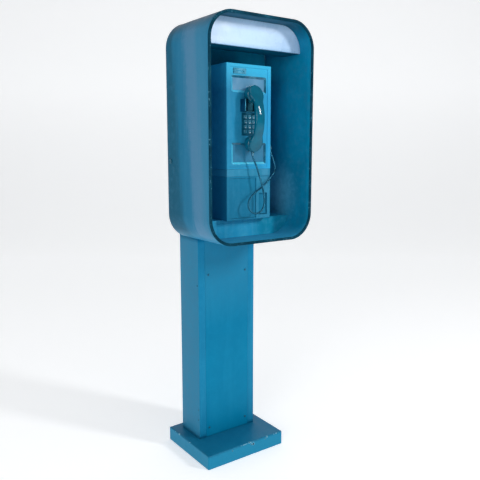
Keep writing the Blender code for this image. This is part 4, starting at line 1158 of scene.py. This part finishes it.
def make_sleeve():
    """The ferrule: a collar with a groove, and a shank that narrows towards the cord."""
    low, high = FERRULE_LOW, FERRULE_HIGH
    radius, length = (high[0] - low[0]) / 2, high[2] - low[2]
    shank = ((length * 0.75, 0.9), (length - 0.0006, 0.78), (length, 0.7))
    profile = [(along, share * radius) for along, share in SLEEVE_HEAD + shank]
    at = (0.0, (low[1] + high[1]) / 2, high[2])
    sleeve = turned("handset_sleeve", profile, at, (0, 0, -1), "plain steel", "handset", steps=28)
    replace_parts(sleeve, "handset_ferrule")


# sound holes: each ring's share of the cap's radius, how many it has, and where it starts
PORE_RINGS = ((0.0, 1, 0.0), (0.24, 6, 0.0), (0.46, 12, 0.26))
PORE_R = 0.0011
PORE_SIDES = 12
PORE_TALL = 0.0004
PORE_OUT = 0.00112  # from the cap's foot plane to a disc's back, just clear of the dished face


def pores(name, at, radius):
    """Sound holes in two rings and a middle one, as dark low discs on the cap's face: painted shade where the
    holes would be.
    """
    turns = [(share, start + 2 * math.pi * k / n) for share, n, start in PORE_RINGS for k in range(n)]
    share, angle = np.array(turns).T
    x, z = radius * share * np.cos(angle), radius * share * np.sin(angle)
    places = np.stack([x, 0 * x - PORE_OUT, z], -1) + np.asarray(at)
    turn = np.linspace(0, 2 * math.pi, PORE_SIDES, endpoint=False)
    disc = PORE_R * np.stack([np.cos(turn), 0 * turn, np.sin(turn)], -1)
    both = np.stack([disc, disc + (0.0, -PORE_TALL, 0.0)])
    points = (places[:, None] + both.reshape(-1, 3)[None]).reshape(-1, 3)
    shift = (np.arange(len(places)) * 2 * PORE_SIDES)[:, None, None]
    k = np.arange(PORE_SIDES)
    caps = np.stack([k[::-1], PORE_SIDES + k])
    walls = (ring_faces(2, PORE_SIDES)[None] + shift).reshape(-1, 4)
    faces = [walls, (caps[None] + shift).reshape(-1, PORE_SIDES)]
    mesh_piece(name, points, faces, "key print and hole shade", "handset", smooth=False)


ELBOW_R = 0.0052
ELBOW_SWELL = 0.04
ELBOW_RISE = 0.0006  # the axis leaves the wall plate this much above its middle
# rings of the wall flange (out from the wall) and of the foot's collar (up from the foot), with radii
ELBOW_FLANGE = ((0.0, 0.0072), (0.0018, 0.0072), (0.0023, 0.0066))
ELBOW_COLLAR = ((0.0034, 0.0052), (0.0032, 0.0062), (0.0004, 0.0062), (0.0, 0.0056))
ELBOW_START = 0.0025


def make_gland():
    """The cast elbow: a round section carried out from the wall plate and round a quarter turn to point
    down, with a flange at the wall, a collar at the foot, and a radius of r (1 + swell x sin(2 turn))
    round the bend."""
    low, high = GLAND_LOW, GLAND_HIGH
    middle = (low + high) / 2
    bend = np.linspace(0, math.pi / 2, 14)
    turn_r, from_z = middle[0] - low[0] - ELBOW_START, middle[2] + ELBOW_RISE
    out, flange_r = np.array(ELBOW_FLANGE).T
    up, collar_r = np.array(ELBOW_COLLAR).T
    line_x = np.concatenate([low[0] + out, low[0] + ELBOW_START + turn_r * np.sin(bend), 0 * up + middle[0]])
    line_z = np.concatenate([0 * out + from_z, from_z - turn_r * (1 - np.cos(bend)), low[2] + up])
    size = np.concatenate([flange_r, ELBOW_R * (1 + ELBOW_SWELL * np.sin(2 * bend)), collar_r])[:, None]
    lean = np.concatenate([0 * out, bend, 0 * up + math.pi / 2])[:, None]
    turn = np.linspace(0, 2 * math.pi, 28, endpoint=False)[None, :]
    x = line_x[:, None] + size * np.cos(turn) * np.sin(lean)
    z = line_z[:, None] + size * np.cos(turn) * np.cos(lean)
    rings = np.stack([x, middle[1] + size * np.sin(turn), z], -1)
    made = stack("lead_elbow", np.clip(rings, low, high), "plain steel")
    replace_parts(made, "cord_gland")


make_cord()
make_plinth()
make_column()
slab("cover_panel", "column_front_cover", "cover enamel", radius=0.0012, edge=0.0005)
make_column_screws()
make_hood()
make_rim()
make_back_rivets()
make_header()
make_locks()
slab("vault_panel", "vault_door", "telephone enamel", radius=0.003, edge=0.0012)
make_beads()
make_flap()
make_keys()
make_hook()
make_handle()
make_caps()
make_sleeve()
make_gland()
coat_nodes()

# ---------------------------------------------------------------- floor and light

FLOOR_BEND = 2.0
FLOOR_NEAR, FLOOR_FAR = -7.0, 4.0
FLOOR_TOP = 9.0
FLOOR_HALF_W = 9.0


def make_floor():
    """A pale floor that turns up into a backdrop: a line out, round a quarter circle and up, carried
    across the view."""
    ahead = np.array([math.sin(-CAMERA_YAW), math.cos(CAMERA_YAW)])
    across = np.array([ahead[1], -ahead[0]])
    bend = quarter(FLOOR_BEND, -90, 0, 24) + (FLOOR_FAR, FLOOR_BEND)
    line = np.vstack([[(FLOOR_NEAR, 0.0)], bend, [(FLOOR_FAR + FLOOR_BEND, FLOOR_TOP)]])
    points = np.empty((len(line), 2, 3))
    points[..., :2] = line[:, None, :1] * ahead + np.array([[-FLOOR_HALF_W], [FLOOR_HALF_W]]) * across
    points[..., 2] = line[:, 1:]
    near = 2 * np.arange(len(line) - 1)
    faces = np.stack([near, near + 1, near + 3, near + 2], -1)
    mesh = bpy.data.meshes.new("floor")
    mesh.from_pydata(points.reshape(-1, 3).tolist(), [], faces.tolist())
    mesh.shade_smooth()
    tone = bpy.data.materials.new("pale floor")
    tone.use_nodes = True
    shader = tone.node_tree.nodes["Principled BSDF"]
    shader.inputs["Base Color"].default_value = (0.86, 0.87, 0.88, 1.0)
    shader.inputs["Roughness"].default_value = 0.9
    shader.inputs["Specular IOR Level"].default_value = 0.1
    shader.inputs["Emission Color"].default_value = (1.0, 1.0, 1.0, 1.0)
    shader.inputs["Emission Strength"].default_value = 0.42
    mesh.materials.append(tone)
    made = bpy.data.objects.new("floor", mesh)
    bpy.context.scene.collection.objects.link(made)


def soft_light(name, at, aim, size, power):
    """A rectangular soft box (width, height) that stands at a place and faces another."""
    light = bpy.data.lights.new(name, "AREA")
    light.shape, light.energy = "RECTANGLE", power
    light.size, light.size_y = size
    made = bpy.data.objects.new(name, light)
    made.location = at
    x, y, z = np.asarray(aim, float) - np.asarray(at, float)
    made.rotation_euler = (math.atan2(np.hypot(x, y), -z), 0.0, math.atan2(y, x) - math.pi / 2)
    bpy.context.scene.collection.objects.link(made)


make_floor()
MIDDLE = np.array([0.0, FACE_Y, 1.15])
KEY_WAY = np.array([0.65, -1.0, 0.5])
soft_light("key", MIDDLE + 3.2 * KEY_WAY, MIDDLE, (0.45, 1.1), 74.0)
soft_light("front left", (-3.4, -2.4, 1.7), (0.0, 0.0, 0.9), (1.8, 1.8), 44.0)
soft_light("back left", (-3.4, 2.6, 1.9), (0.0, 0.0, 0.9), (2.6, 2.6), 15.0)
soft_light("overhead", (-0.6, -1.4, 4.2), (0.0, 0.0, 0.8), (2.2, 2.2), 20.0)


def make_world():
    """An even, faintly cool surround that lights the scene dimly and is seen as the floor's pale tone."""
    world = bpy.data.worlds.new("studio")
    world.use_nodes = True
    tree = world.node_tree
    surround = tree.nodes["Background"]
    surround.inputs["Color"].default_value = (0.93, 0.96, 1.0, 1.0)
    strength = tree.nodes.new("ShaderNodeMapRange")
    strength.inputs["To Min"].default_value = 0.24
    strength.inputs["To Max"].default_value = 0.95
    tree.links.new(tree.nodes.new("ShaderNodeLightPath").outputs["Is Camera Ray"], strength.inputs["Value"])
    tree.links.new(strength.outputs["Result"], surround.inputs["Strength"])
    bpy.context.scene.world = world


make_world()
